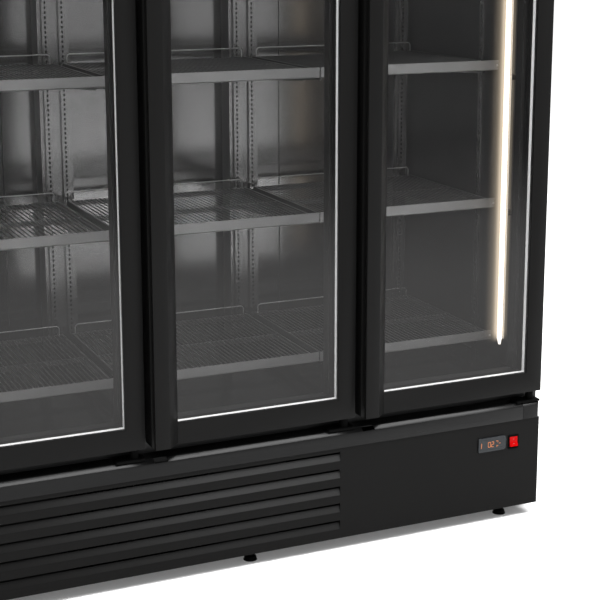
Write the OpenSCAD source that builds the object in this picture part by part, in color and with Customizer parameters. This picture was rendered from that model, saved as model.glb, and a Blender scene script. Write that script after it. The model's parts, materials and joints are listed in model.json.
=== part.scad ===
// Glass door merchandiser: a refrigerated display cabinet with three hinged glass doors,
// wire shelves on slotted posts and a machine compartment behind a louvred plinth.
// Width runs along X, the doors face -Y and the floor is at z = 0. Sizes are in mm.

/* [Cabinet] */
// outside width of the insulated body
body_w = 1550; // [1400:5:1700]
// depth from the door faces to the back
body_depth = 790; // [700:5:900]
// overall height
body_h = 1990; // [1800:10:2200]
// thickness of a side wall
side_wall_t = 35; // [25:1:45]
// thickness of the back wall
rear_wall_t = 45; // [30:1:60]
// thickness of the roof
roof_t = 50; // [35:1:70]
// thickness of the deck between display and machine space
floor_t = 45; // [30:1:52]
// chamfer on the outer edges of the body
body_chamfer = 5; // [2:0.5:10]
// thickness of folded sheet metal
sheet_t = 2; // [1.5:0.5:3]

/* [Base] */
// height of the levelling feet
foot_h = 30; // [20:1:45]
// radius of a foot pad
foot_r = 16; // [12:1:22]
// radius of a foot stem
stem_r = 6; // [4:0.5:8]
// distance of the outer feet from the middle
foot_x = 668; // [560:1:700]
// distance of the front feet behind the door faces
foot_front = 44; // [30:1:80]
// distance of the rear feet from the back
foot_back = 60; // [40:1:120]
// height of the louvred plinth panel
plinth_h = 222; // [214:1:260]
// distance of the plinth behind the rail face
plinth_setback = 3; // [0:0.5:6]
// upturned edge of the base tray
tray_edge = 18; // [12:1:26]
// distance of the base tray behind the louvres
tray_back = 2; // [1:0.5:6]

/* [Rear panel] */
// number of air slots in the rear sheet
grille_count = 36; // [20:2:48]
// distance of the air slots from the sides of the rear sheet
grille_margin = 40; // [20:1:80]
// height of the first air slot edge above the base
grille_low = 81; // [80:1:110]
// height of the air slots
grille_h = 135; // [80:1:150]
// radius of the lead bushing at the back
gland_r = 10; // [8:0.5:14]
// bore of the lead bushing
gland_bore = 6; // [4:0.5:7]
// play of the lead bushing in its hole
gland_play = 0.1; // [0.05:0.05:0.3]
// distance of the lead bushing from the right side wall
gland_inset = 90; // [60:1:140]
// height of the lead bushing above the base
gland_rise = 46; // [44:1:60]
// width of the flange of the lead bushing
gland_flange = 5; // [3:0.5:6]
// length of the lead bushing
gland_len = 16; // [12:1:24]

/* [Louvres] */
// number of louvres
louvre_count = 5; // [3:1:5]
// distance from one louvre to the next
louvre_pitch = 41.8; // [38:0.1:43]
// height of one louvre opening
louvre_h = 23; // [20:1:30]
// depth of the sloping blade
louvre_depth = 6; // [4:0.5:12]
// open slot left above each blade
louvre_slot = 7; // [5:0.5:12]
// length of the louvres
louvre_len = 900; // [600:10:940]
// right end of the louvres, measured from the middle
louvre_end = 210; // [170:5:260]
// distance of the top louvre below the panel edge
louvre_drop = 10.4; // [8:0.1:20]

/* [Rails] */
// height of the hinge rails
rail_h = 40; // [34:1:50]
// chamfer along the front of a rail
rail_chamfer = 8; // [5:0.5:12]
// wall of the rail profile
rail_wall = 3; // [2:0.5:4]
// height of the lip at the back of a rail
rail_lip = 2; // [1:0.5:3]
// length of a rail end cap
cap_len = 48; // [30:1:70]
// seam between rail and end cap
cap_seam = 0.6; // [0.4:0.1:0.9]
// width of the pocket under each handle
pocket_w = 30; // [20:1:40]
// depth of the pocket from the front
pocket_depth = 13; // [9:1:18]
// distance of the pocket from the edge of its door
pocket_shift = 6; // [0:1:12]

/* [Doors] */
// distance from the side of the body to the outer edge of the end doors
door_margin = 25; // [20:1:45]
// gap between two doors
door_gap = 15; // [12:0.5:20]
// thickness of a door frame
door_t = 44; // [40:1:50]
// height of a door above the rail
door_lift = 28; // [24:1:36]
// gap above a door
door_head = 20; // [14:1:30]
// width of the stile on the hinge side
hinge_stile = 43; // [36:1:55]
// width of the stile under the handle
handle_stile = 60; // [54:1:70]
// height of the top and bottom rail of a door
door_rail = 49; // [42:1:60]
// lip of the frame in front of the glass
glass_lip = 4; // [2:0.5:6]
// thickness of a pane
pane_t = 4; // [3:0.5:6]
// distance between the two panes
pane_gap = 16; // [12:1:20]
// depth of the glass in its groove
glass_seat = 8; // [6:0.5:12]
// width of the spacer bar that shows inside the frame
spacer_show = 0; // [0:0.5:6]
// play of the glass in its groove
glass_play = 0.3; // [0.2:0.1:0.6]
// thickness of the gasket
gasket_t = 9; // [7:0.5:12]
// width of the gasket
gasket_w = 12; // [9:0.5:15]
// distance of the gasket from the door edges
gasket_inset = 14; // [8:0.5:20]
// distance of the gasket from the hinge line
gasket_clear = 2; // [1.5:0.5:6]
// room between gasket and cabinet
gasket_room = 0.3; // [0.2:0.1:0.6]

/* [Handles] */
// reach of the handle in front of the door
handle_reach = 26; // [22:0.5:34]
// width of the flat front of the handle
handle_flat = 33; // [26:0.5:40]
// wall of the handle profile
handle_wall = 3; // [2:0.5:4]
// lip turned back behind the front of the handle
handle_lip = 7; // [4:0.5:9]
// distance of the handle ends from the door ends
handle_end = 2; // [0:0.5:10]

/* [Hinges] */
// distance of a hinge pin from the door edge
pin_inset = 20; // [18:0.5:22]
// distance of a hinge pin behind the door face
pin_depth = 20; // [18:0.5:22]
// radius of a hinge pin
pin_r = 6; // [4:0.5:8]
// play around a hinge pin
pin_play = 0.05; // [0.02:0.01:0.08]
// length of a hinge pin inside the door
pin_seat = 14; // [10:1:20]
// thickness of a hinge plate
plate_t = 5; // [3:0.5:8]
// length of a hinge plate
plate_len = 64; // [50:1:80]
// width of a hinge plate
plate_w = 34; // [28:1:40]

/* [Front frame] */
// thickness of the fixed frame behind the doors
frame_t = 26; // [20:1:36]
// width of the fixed frame that shows beside the glass
frame_lap = 1.5; // [0:0.5:4]
// height of the fixed sill below the top of the bottom door rail
sill_drop = 5; // [2:1:10]
// depth of the display floor below the sill
floor_drop = 19; // [10:1:30]
// extra width of the outer posts beside the glass
jamb_extra = 3.5; // [0:0.5:6]

/* [Posts] */
// width of a rear post
post_w = 80; // [64:1:96]
// depth of a rear post
post_depth = 55; // [40:1:70]
// sheet thickness of a rear post
post_t = 3; // [2:0.5:4]
// width of a slotted strip
strip_w = 17; // [13:0.5:20]
// thickness of a slotted strip
strip_t = 8; // [5:0.5:10]
// distance of a slotted strip from the middle of its post
strip_x = 21; // [18:0.5:26]
// distance from one slot to the next
slot_pitch = 12; // [10:0.5:20]
// width of a slot
slot_w = 4; // [3:0.5:6]
// height of a slot
slot_h = 6; // [4:0.5:8]
// distance of the strips on the side walls behind the door faces
side_strip_d = 300; // [260:1:360]
// thickness of the strips on the side walls
side_strip_t = 2; // [1.5:0.5:3]

/* [Shelves] */
// number of shelves in a bay
shelf_count = 4; // [2:1:4]
// height of the lowest shelf above the display floor
shelf_first = 67; // [62:1:90]
// distance from one shelf to the next
shelf_pitch = 343.5; // [250:0.5:350]
// distance of the shelves behind the door faces
shelf_front = 214; // [150:1:240]
// gap between shelf and rear posts
shelf_rear_gap = 30; // [20:1:60]
// gap between the shelves of two bays
shelf_gap = 22; // [14:1:30]
// play between an end shelf and the side wall
shelf_side_play = 4; // [2:0.5:10]
// radius of a shelf wire
wire_r = 1.5; // [1.25:0.25:2.5]
// wanted distance between wires
wire_pitch = 11.7; // [10:0.1:16]
// height of the shelf frame bars
bar_h = 12; // [8:1:16]
// thickness of the shelf frame bars
bar_t = 5; // [4:0.5:8]
// height of a price strip
price_h = 25; // [18:1:34]
// thickness of a price strip
price_t = 3; // [2:0.5:4]
// play between the turned-in edge of a price strip and the shelf frame
price_play = 1; // [0.5:0.1:2]
// depth of the turned-in edge of a price strip
price_lip = 4; // [3:0.5:5]
// gap between two price strips
price_gap = 3; // [2:0.5:6]
// height of the rear stop wire
stop_h = 22; // [14:1:40]
// distance of the rear stop from the shelf sides
stop_inset = 10; // [6:1:20]
// bend radius of the rear stop
stop_bend = 9; // [6:0.5:12]
// thickness of a shelf bracket
bracket_t = 3; // [2:0.5:4]
// height of a shelf bracket at the post
bracket_h = 46; // [36:1:50]
// height of a shelf bracket at its tip
bracket_tip = 14; // [10:1:20]
// distance of a bracket tip behind the shelf front
bracket_back = 40; // [20:1:80]

/* [Lighting] */
// distance of a light bar from the side wall
light_x = 28; // [22:1:40]
// distance of a light bar behind the door faces
light_d = 131; // [110:1:160]
// radius of the light diffuser
light_r = 8; // [6:0.5:10]
// height of the light bars above the display floor
light_rise = 62; // [40:1:90]
// distance of the light bars below the roof
light_drop = 60; // [30:1:100]
// length of the clear end of a light bar
light_tip = 16; // [10:1:24]
// width of the light bar backing
light_back_w = 18; // [14:0.5:24]
// thickness of the light bar backing
light_back_t = 6; // [4:0.5:9]
// number of clips on a light bar
clip_count = 4; // [2:1:6]
// distance of the lowest clip from the foot of the light bar
clip_low = 318; // [200:1:360]
// distance of the highest clip from the top of the light bar
clip_high = 160; // [100:1:260]
// height of a clip
clip_h = 12; // [8:1:20]

/* [Controls] */
// distance of the controller from the plinth end
control_x = 134; // [120:1:160]
// height of the controller above the plinth edge
control_z = 171; // [120:1:180]
// width of the controller
control_w = 76; // [70:1:84]
// height of the controller
control_h = 35; // [30:1:40]
// thickness of the controller bezel
control_t = 4; // [3:0.5:6]
// depth of the controller housing behind the panel
control_depth = 44; // [30:1:48]
// border around the controller window
control_border = 5; // [4:0.5:7]
// cut corner of the controller bezel
control_corner = 4; // [2:0.5:6]
// play around the controller window
lens_play = 0.2; // [0.1:0.05:0.4]
// thickness of the controller window
lens_t = 1.5; // [1:0.25:2.5]
// distance of the switch from the plinth end
switch_x = 73; // [66:1:80]
// height of the switch above the plinth edge
switch_z = 168; // [120:1:176]
// width of the rocker
rocker_w = 21.5; // [18:0.5:24]
// height of the rocker
rocker_h = 27; // [22:0.5:30]
// border around the rocker
switch_border = 3; // [2:0.5:5]
// thickness of the switch frame in front of the panel
switch_t = 2.5; // [1.5:0.5:4]
// depth of the switch housing behind the panel
switch_depth = 26; // [22:1:36]
// depth of the rocker pivot behind the panel face
pivot_back = 5; // [4.5:0.25:6]
// play around the rocker
rocker_play = 0.4; // [0.3:0.1:0.8]
// tilt of the rocker to either side
rocker_tilt = 8; // [5:0.5:10]
// radius of the rocker pivot
pivot_r = 1.5; // [1:0.25:2]
// play around the rocker pivot
pivot_play = 0.05; // [0.02:0.01:0.08]

/* [Cooling] */
// width of the evaporator housing
evap_w = 1200; // [900:10:1300]
// depth of the evaporator housing
evap_depth = 210; // [180:5:240]
// height of the evaporator housing
evap_h = 150; // [130:5:170]
// distance of the evaporator coil behind its fan openings
coil_back = 90; // [80:1:100]
// depth of the evaporator coil
coil_depth = 80; // [60:1:90]
// height of the evaporator coil
coil_h = 120; // [90:1:125]
// distance of the evaporator coil from the housing ends
coil_inset = 60; // [40:1:90]
// number of evaporator fins
coil_fins = 60; // [30:2:80]
// setback of the tube block between the fin edges
coil_block = 20; // [10:1:25]
// radius of an evaporator fan opening
evap_fan_r = 58; // [50:1:60]
// distance of the evaporator fans from the middle
evap_fan_x = 300; // [200:5:400]
// radius of the condenser fan opening
cond_fan_r = 92; // [80:1:94]
// width of the condenser
cond_w = 330; // [280:5:380]
// height of the condenser
cond_h = 200; // [190:1:210]
// depth of the condenser
cond_depth = 66; // [50:1:80]
// distance of the condenser from the middle, to the left
cond_x = 240; // [200:5:300]
// distance of the condenser behind the plinth
cond_back = 60; // [40:1:90]
// setback of the tube block between the condenser fin edges
cond_block = 15; // [8:1:20]
// number of condenser fins
fin_count = 40; // [20:2:60]
// distance from a fan opening back to its motor arms
fan_shaft = 34; // [30:1:40]
// depth of the condenser fan shroud
shroud_depth = 50; // [30:1:60]
// length of a fan motor
motor_len = 24; // [18:1:26]
// width of a fan motor arm
arm_w = 8; // [6:0.5:12]
// thickness of a fan motor arm
arm_t = 4; // [3:0.5:6]
// room between a fan blade and its opening
fan_room = 4; // [3:0.5:8]
// radius of a fan hub
hub_r = 20; // [16:1:26]
// radius of a fan shaft
shaft_r = 4; // [3:0.5:5]
// play around a fan shaft
shaft_play = 0.05; // [0.02:0.01:0.08]
// number of fan blades
blade_count = 5; // [3:1:7]
// angle of a fan blade
blade_angle = 32; // [20:1:40]
// width of a fan blade
blade_w = 26; // [16:1:30]
// thickness of a fan blade
blade_t = 2; // [1.5:0.25:3]
// radius of the compressor shell
comp_r = 72; // [60:1:85]
// height of the compressor
comp_h = 185; // [150:1:190]
// distance of the compressor from the middle, to the right
comp_x = 330; // [260:5:400]
// distance of the compressor behind the door faces
comp_d = 420; // [320:5:560]

/* [Hidden] */
$fn = 64;
face_y = (handle_reach - body_depth) / 2;
doors_w = body_w - 2 * door_margin;
door_w = (doors_w - 2 * door_gap) / 3;
door_pitch = door_w + door_gap;
inner_w = body_w - 2 * side_wall_t;
front_d = door_t + gasket_t;
inner_front = front_d + frame_t;
inner_back = body_depth - rear_wall_t;
plinth_top = foot_h + plinth_h;
rail_top = plinth_top + rail_h;
door_z = rail_top + door_lift;
roof_z = body_h - roof_t;
rail_up = body_h - rail_h;
door_h = rail_up - door_head - door_z;
sill_top = door_z + door_rail - sill_drop;
header_z = door_z + door_h - door_rail + sill_drop;
floor_top = sill_top - floor_drop;
floor_z = floor_top - floor_t;
mullion_w = 2 * (hinge_stile + door_gap / 2 + frame_lap);
jamb_x = doors_w / 2 - hinge_stile - frame_lap - jamb_extra;
post_x = door_pitch / 2;
post_front = inner_back - post_depth;
strip_front = post_front - strip_t;
shelf_back = strip_front - shelf_rear_gap;
shelf_depth = shelf_back - shelf_front;
mid_shelf_w = door_pitch - shelf_gap;
end_shelf_w = inner_w / 2 - shelf_side_play - post_x - shelf_gap / 2;
end_shelf_x = post_x + shelf_gap / 2 + end_shelf_w / 2;
corner_w = post_w / 2;
strip_end = inner_w / 2 - corner_w + strip_x;
strip_places = [-strip_end, -post_x - strip_x, strip_x - post_x,
    post_x - strip_x, post_x + strip_x, strip_end];
price_rise = price_h - price_t - price_play - bar_h - wire_r;
post_z = floor_top;
post_h = roof_z - evap_h - post_z;
groove_d = glass_lip + 2 * pane_t + pane_gap + glass_play;
plinth_d = plinth_setback;
tray_d = plinth_d + louvre_depth + sheet_t + tray_back;
tray_top = foot_h + sheet_t;
gland_x = inner_w / 2 - gland_inset;
gland_z = foot_h + gland_rise;
louvre_x = louvre_end - louvre_len / 2;
control_px = doors_w / 2 - control_x;
control_pz = foot_h + control_z;
switch_px = doors_w / 2 - switch_x;
switch_pz = foot_h + switch_z;
pivot_d = plinth_d + pivot_back;
light_px = inner_w / 2 - light_x;
light_z = floor_top + light_rise;
light_h = roof_z - light_drop - light_z;
evap_d = inner_back - evap_depth;
evap_z = roof_z - evap_h;
cond_d = plinth_d + cond_back;
fan_d = cond_d + cond_depth;
cond_cz = tray_top + cond_h / 2;

// Everything is placed by its distance behind the door faces.
module at_face() {
    translate([0, face_y, 0]) children();
}

// A section drawn as distance behind the doors and height, drawn out along the width.
module along_x(length) {
    rotate([90, 0, 90]) linear_extrude(length, center = true) children();
}

// A front view drawn as width and height, given a thickness from one depth backwards.
module along_d(start, thick) {
    translate([0, start + thick, 0]) rotate([90, 0, 0]) linear_extrude(thick) children();
}

// A block centred on the width, from one depth and height.
module block(x, w, d, depth, z, h) {
    translate([x - w / 2, d, z]) cube([w, depth, h]);
}

// Steel pan under the machine space.
module base_tray() {
    color("DimGray") at_face() difference() {
        block(0, inner_w, tray_d, body_depth - sheet_t - tray_d, foot_h, tray_edge);
        block(0, inner_w - 2 * sheet_t, tray_d + sheet_t, body_depth - 3 * sheet_t - tray_d, tray_top,
            tray_edge);
    }
}

// One screw foot with a tapered pad and a lock nut.
module foot() {
    cylinder(h = foot_h * 0.3, r1 = foot_r, r2 = foot_r - 3);
    cylinder(h = foot_h, r = stem_r);
    translate([0, 0, foot_h - 8]) cylinder(h = 8, r = stem_r * 1.9, $fn = 6);
}

// Six feet under the tray.
module levelling_feet() {
    color("Black") at_face() for (x = [-foot_x, 0, foot_x], d = [foot_front, body_depth - foot_back])
        translate([x, d, 0]) foot();
}

// Insulated side panel with chamfered outer edges; side is -1 or 1.
module side_wall(side) {
    depth = body_depth - front_d;
    c = body_chamfer;
    color("Black") at_face() translate([side * inner_w / 2, front_d, foot_h])
        linear_extrude(roof_z - foot_h) mirror([side < 0 ? 1 : 0, 0])
            polygon([[0, 0], [side_wall_t - c, 0], [side_wall_t, c], [side_wall_t, depth - c],
                [side_wall_t - c, depth], [0, depth]]);
}

module side_wall_left() {
    side_wall(-1);
}

module side_wall_right() {
    side_wall(1);
}

// Insulated back of the display space.
module rear_wall() {
    color("Gray") at_face() block(0, inner_w, inner_back, rear_wall_t, floor_z, roof_z - floor_z);
}

// Insulated roof with chamfered top edges.
module roof_panel() {
    c = body_chamfer;
    color("Black") at_face() translate([0, front_d + (body_depth - front_d) / 2, roof_z])
        rotate([90, 0, 0]) linear_extrude(body_depth - front_d, center = true)
            polygon([[-body_w / 2, 0], [body_w / 2, 0], [body_w / 2, roof_t - c], [body_w / 2 - c, roof_t],
                [c - body_w / 2, roof_t], [-body_w / 2, roof_t - c]]);
}

// Insulated deck under the shelves.
module floor_panel() {
    color("DimGray") at_face() block(0, inner_w, inner_front, inner_back - inner_front, floor_z, floor_t);
}

// Two mullions between the doors and a jamb at each side.
module front_posts() {
    jamb_w = inner_w / 2 - jamb_x;
    color("Black") at_face() {
        for (x = [-post_x, post_x])
            block(x, mullion_w, front_d, frame_t, sill_top, header_z - sill_top);
        for (side = [-1, 1])
            block(side * (jamb_x + jamb_w / 2), jamb_w, front_d, frame_t, sill_top, header_z - sill_top);
    }
}

// Fixed sill behind the lower hinge rail.
module front_sill() {
    color("Black") at_face() block(0, inner_w, front_d, frame_t, plinth_top, sill_top - plinth_top);
}

// Fixed header behind the upper hinge rail.
module front_header() {
    color("Black") at_face() block(0, inner_w, front_d, frame_t, header_z, roof_z - header_z);
}

// Outline of a hinge rail as distance behind the doors and height above its foot.
module rail_outline() {
    polygon([[0, 0], [0, rail_h - rail_chamfer], [rail_chamfer, rail_h], [front_d - rail_lip, rail_h],
        [front_d - rail_lip, rail_h + rail_lip], [front_d, rail_h + rail_lip], [front_d, 0]]);
}

// Hollow rail profile, open at the foot.
module rail_profile() {
    w = rail_wall;
    k = rail_wall * 0.41;
    difference() {
        rail_outline();
        polygon([[w, -1], [w, rail_h - rail_chamfer - k], [rail_chamfer + k, rail_h - w],
            [front_d - w, rail_h - w], [front_d - w, -1]]);
    }
}

// Pockets in the rail chamfer under the handles.
module rail_pockets() {
    for (i = [-1:1])
        translate([i * door_pitch - door_w / 2 + pocket_shift, -1, rail_h - rail_chamfer])
            cube([pocket_w, pocket_depth + 1, rail_chamfer + 1]);
}

module lower_hinge_rail() {
    color("DimGray") at_face() translate([0, 0, plinth_top]) difference() {
        along_x(doors_w - 2 * cap_len) rail_profile();
        rail_pockets();
    }
}

module upper_hinge_rail() {
    color("DimGray") at_face() translate([0, 0, body_h]) mirror([0, 0, 1])
        along_x(doors_w - 2 * cap_len) rail_profile();
}

// One moulded end cap with its outer corner cut back.
module rail_cap() {
    c = rail_chamfer;
    difference() {
        along_x(cap_len - cap_seam) rail_outline();
        translate([(cap_len - cap_seam) / 2, 0, rail_h / 2]) rotate([0, 0, 45])
            cube([c * 1.2, c * 1.2, rail_h * 3], center = true);
        translate([(cap_len - cap_seam) / 2, front_d / 2, rail_h + rail_lip]) rotate([0, 45, 0])
            cube([c, front_d * 2, c], center = true);
    }
}

// Caps on both ends of both rails.
module rail_end_caps() {
    color("Black") at_face() for (side = [0, 1]) mirror([side, 0, 0])
        translate([(doors_w - cap_len + cap_seam) / 2, 0, 0]) {
            translate([0, 0, plinth_top]) rail_cap();
            translate([0, 0, body_h]) mirror([0, 0, 1]) rail_cap();
        }
}

// Height of the top edge of one louvre.
function louvre_z(i) = plinth_top - louvre_drop - i * louvre_pitch;

// One louvre cut on three sides and folded in, so its blade slopes up to an open slot with open ends.
module louvre(i) {
    top = louvre_z(i);
    low = top - louvre_h;
    up = top - louvre_slot;
    inner = plinth_d + louvre_depth;
    translate([louvre_x, 0, 0]) along_x(louvre_len) polygon([[plinth_d, low - sheet_t], [plinth_d, low],
        [inner, up], [inner + sheet_t, up], [plinth_d + sheet_t, low - sheet_t]]);
}

// Folded front panel of the machine space with its louvres and control cut-outs.
module plinth_panel() {
    bezel_w = rocker_w + 2 * rocker_play;
    bezel_h = rocker_h + 2 * rocker_play;
    color("Black") at_face() {
        difference() {
            block(0, doors_w, plinth_d, front_d - plinth_d, foot_h, plinth_h);
            block(0, doors_w - 2 * sheet_t, plinth_d + sheet_t, front_d, foot_h - 1, plinth_h + 2);
            for (i = [0:louvre_count - 1])
                block(louvre_x, louvre_len, plinth_d - 1, sheet_t + 2, louvre_z(i) - louvre_h, louvre_h);
            block(control_px, control_w - 2 * control_border, plinth_d - 1, sheet_t + 2,
                control_pz - control_h / 2 + control_border, control_h - 2 * control_border);
            block(switch_px, bezel_w + switch_border, plinth_d - 1, sheet_t + 2,
                switch_pz - bezel_h / 2 - switch_border / 2, bezel_h + switch_border);
        }
        for (i = [0:louvre_count - 1]) louvre(i);
    }
}

// Slotted sheet behind the machine space.
module rear_grille() {
    step = (inner_w - 2 * grille_margin) / grille_count;
    color("DimGray") at_face() along_d(body_depth - sheet_t, sheet_t) difference() {
        translate([-inner_w / 2, foot_h]) square([inner_w, floor_z - foot_h]);
        for (i = [0:grille_count - 1])
            translate([grille_margin - inner_w / 2 + (i + 0.25) * step, foot_h + grille_low])
                square([step / 2, grille_h]);
        translate([gland_x, gland_z]) circle(r = gland_r + gland_play);
    }
}

// Bushing for the supply lead, set in the rear sheet.
module cable_gland() {
    color("Black") at_face() translate([gland_x, body_depth, gland_z]) rotate([90, 0, 0])
        difference() {
            union() {
                cylinder(h = gland_len, r = gland_r);
                translate([0, 0, sheet_t]) cylinder(h = gland_flange, r = gland_r + gland_flange);
            }
            translate([0, 0, -1]) cylinder(h = gland_len + 2, r = gland_bore);
        }
}

// Controller housing with a bevelled bezel.
module controller_case() {
    b = control_border;
    c = control_corner;
    color("Black") at_face() difference() {
        union() {
            translate([control_px, 0, control_pz]) along_d(plinth_d - control_t, control_t)
                polygon([[-control_w / 2, -control_h / 2], [control_w / 2 - c, -control_h / 2],
                    [control_w / 2, c - control_h / 2], [control_w / 2, control_h / 2 - c],
                    [control_w / 2 - c, control_h / 2], [-control_w / 2, control_h / 2]]);
            block(control_px, control_w - 2 * b, plinth_d, control_depth, control_pz - control_h / 2 + b,
                control_h - 2 * b);
        }
        block(control_px, control_w - 2 * b, plinth_d - control_t - 1, lens_t + 1,
            control_pz - control_h / 2 + b, control_h - 2 * b);
    }
}

// Dark window of the controller.
module controller_lens() {
    b = control_border + lens_play;
    color("DarkSlateGray") at_face() block(control_px, control_w - 2 * b, plinth_d - control_t, lens_t,
        control_pz - control_h / 2 + b, control_h - 2 * b);
}

// Frame and housing of the rocker switch.
module switch_bezel() {
    w = rocker_w + 2 * rocker_play;
    h = rocker_h + 2 * rocker_play;
    s = switch_border;
    color("Black") at_face() difference() {
        union() {
            block(switch_px, w + 2 * s, plinth_d - switch_t, switch_t, switch_pz - h / 2 - s, h + 2 * s);
            block(switch_px, w + s, plinth_d, switch_depth, switch_pz - h / 2 - s / 2, h + s);
        }
        block(switch_px, w, plinth_d - switch_t - 1, switch_depth + switch_t - 2, switch_pz - h / 2, h);
        translate([switch_px, pivot_d, switch_pz]) rotate([0, 90, 0])
            cylinder(h = w + s - 0.6, r = pivot_r + pivot_play, center = true);
    }
}

// Rocker with two sloping faces, its upper half pressed in, on two short pivots.
module switch_rocker() {
    h = rocker_h / 2;
    e = h - 1.5;
    color("Red") at_face() translate([switch_px, pivot_d, switch_pz]) rotate([-rocker_tilt, 0, 0]) {
        along_x(rocker_w) polygon([[-9.5, -e], [-7.5, 0], [-9.5, e], [-3, h - 0.4], [3, h - 1],
            [6, 5], [6, -5], [3, 1 - h], [-3, 0.4 - h]]);
        rotate([0, 90, 0])
            cylinder(h = rocker_w + 2 * rocker_play + switch_border - 1.6, r = pivot_r, center = true);
    }
}

// Plate and pin that carry one corner of a door, standing on z = 0.
module hinge_plate(reach) {
    translate([pin_inset - plate_len, pin_depth - plate_w / 2, 0]) cube([plate_len, plate_w, plate_t]);
    cylinder_pin(reach);
}

// Hinge pin with a washer collar under the door.
module cylinder_pin(reach) {
    translate([0, pin_depth, 0]) {
        cylinder(h = reach + pin_seat, r = pin_r);
        cylinder(h = reach - 0.5, r = pin_r + 4);
    }
}

module lower_hinge_plates() {
    color("Gray") at_face() for (i = [-1:1])
        translate([i * door_pitch + door_w / 2 - pin_inset, 0, rail_top]) hinge_plate(door_lift);
}

module upper_hinge_plates() {
    color("Gray") at_face() for (i = [-1:1])
        translate([i * door_pitch + door_w / 2 - pin_inset, 0, rail_up]) mirror([0, 0, 1])
            hinge_plate(door_head);
}

// Folded post against the back wall, open at the back like a channel.
module rear_post(w) {
    difference() {
        block(0, w, post_front, post_depth, post_z, post_h);
        block(0, w - 2 * post_t, post_front + post_t, post_depth, post_z - 1, post_h + 2);
    }
}

module rear_posts() {
    color("Gray") at_face() for (x = [-post_x, post_x]) translate([x, 0, 0]) rear_post(post_w);
}

module corner_posts() {
    color("Gray") at_face() for (side = [-1, 1])
        translate([side * (inner_w / 2 - corner_w / 2), 0, 0]) rear_post(corner_w);
}

// One slotted strip seen from the front.
module strip_face() {
    n = floor((post_h - 2 * slot_pitch) / slot_pitch);
    difference() {
        translate([-strip_w / 2, post_z]) square([strip_w, post_h]);
        for (k = [0:n]) translate([-slot_w / 2, post_z + slot_pitch * (k + 0.75)]) square([slot_w, slot_h]);
    }
}

// A strip on each corner post and two on each rear post.
module slotted_strips() {
    color("Gray") at_face() for (x = strip_places)
        translate([x, 0, 0]) along_d(strip_front, strip_t) strip_face();
}

// Thin slotted strips on the side walls that steady the end shelves.
module side_strips() {
    color("DimGray") at_face() for (side = [-1, 1])
        translate([side * (inner_w - side_strip_t) / 2, 0, 0]) along_x(side_strip_t)
            translate([side_strip_d, 0]) strip_face();
}

// Height of the wires of one shelf.
function shelf_z(k) = floor_top + shelf_first + k * shelf_pitch;

// One tapered bracket below a shelf, from its strip to its tip.
module bracket(x, z) {
    tip = shelf_front + bracket_back;
    translate([x, 0, z]) along_x(bracket_t) polygon([[tip, 0], [strip_front, 0], [strip_front, -bracket_h],
        [strip_front - 30, -bracket_h], [tip, -bracket_tip]]);
}

module shelf_brackets() {
    color("DimGray") at_face() for (k = [0:shelf_count - 1], x = strip_places)
        bracket(x, shelf_z(k) - wire_r - bar_h);
}

// One wire shelf: a frame of flat bars with wires running front to back.
module shelf(w, z) {
    n = round((w - 2 * bar_t) / wire_pitch);
    step = (w - bar_t) / n;
    bar_z = z - wire_r - bar_h;
    for (side = [-1, 1])
        block(side * (w - bar_t) / 2, bar_t, shelf_front, shelf_depth, bar_z, bar_h + wire_r);
    for (d = [shelf_front, shelf_front + (shelf_depth - bar_t) * 0.5, shelf_back - bar_t])
        block(0, w - bar_t, d, bar_t, bar_z, bar_h);
    for (i = [1:n - 1]) translate([-(w - bar_t) / 2 + i * step, shelf_back, z - wire_r])
        rotate([90, 0, 0]) cylinder(h = shelf_depth, r = wire_r, $fn = 24);
}

// All shelves of one bay.
module shelves(x, w) {
    color("LightGray") at_face() for (k = [0:shelf_count - 1])
        translate([x, 0, 0]) shelf(w, shelf_z(k));
}

module shelves_left() {
    shelves(-end_shelf_x, end_shelf_w);
}

module shelves_middle() {
    shelves(0, mid_shelf_w);
}

module shelves_right() {
    shelves(end_shelf_x, end_shelf_w);
}

// One price strip with a turned-in lower edge.
module price_strip(w) {
    t = price_t;
    along_x(w) polygon([[-t, 0], [0, 0], [0, t - price_h], [price_lip, t - price_h], [price_lip, -price_h],
        [1, -price_h], [-t, t - price_h]]);
}

module price_strips() {
    end_w = inner_w / 2 - shelf_side_play - post_x - price_gap / 2;
    end_x = post_x + price_gap / 2 + end_w / 2;
    color("Silver") at_face() for (k = [0:shelf_count - 1])
        translate([0, shelf_front, shelf_z(k) + price_rise]) {
            price_strip(door_pitch - price_gap);
            for (side = [-1, 1]) translate([side * end_x, 0, 0]) price_strip(end_w);
        }
}

// Raised wire across the back of a shelf, bent down at both ends.
module rear_stop(w) {
    half = w / 2 - stop_inset;
    leg = stop_h - stop_bend;
    translate([0, shelf_back - bar_t / 2, 0]) {
        for (side = [0, 1]) mirror([side, 0, 0]) {
            translate([half, 0, -wire_r]) cylinder(h = leg + wire_r, r = wire_r, $fn = 24);
            translate([half - stop_bend, 0, leg]) rotate([90, 0, 0]) rotate_extrude(angle = 90)
                translate([stop_bend, 0]) circle(r = wire_r, $fn = 24);
        }
        translate([stop_bend - half, 0, stop_h]) rotate([0, 90, 0])
            cylinder(h = 2 * (half - stop_bend), r = wire_r, $fn = 24);
    }
}

module rear_stops() {
    color("LightGray") at_face() for (k = [0:shelf_count - 1]) translate([0, 0, shelf_z(k)]) {
        rear_stop(mid_shelf_w);
        for (side = [-1, 1]) translate([side * end_shelf_x, 0, 0]) rear_stop(end_shelf_w);
    }
}

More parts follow.
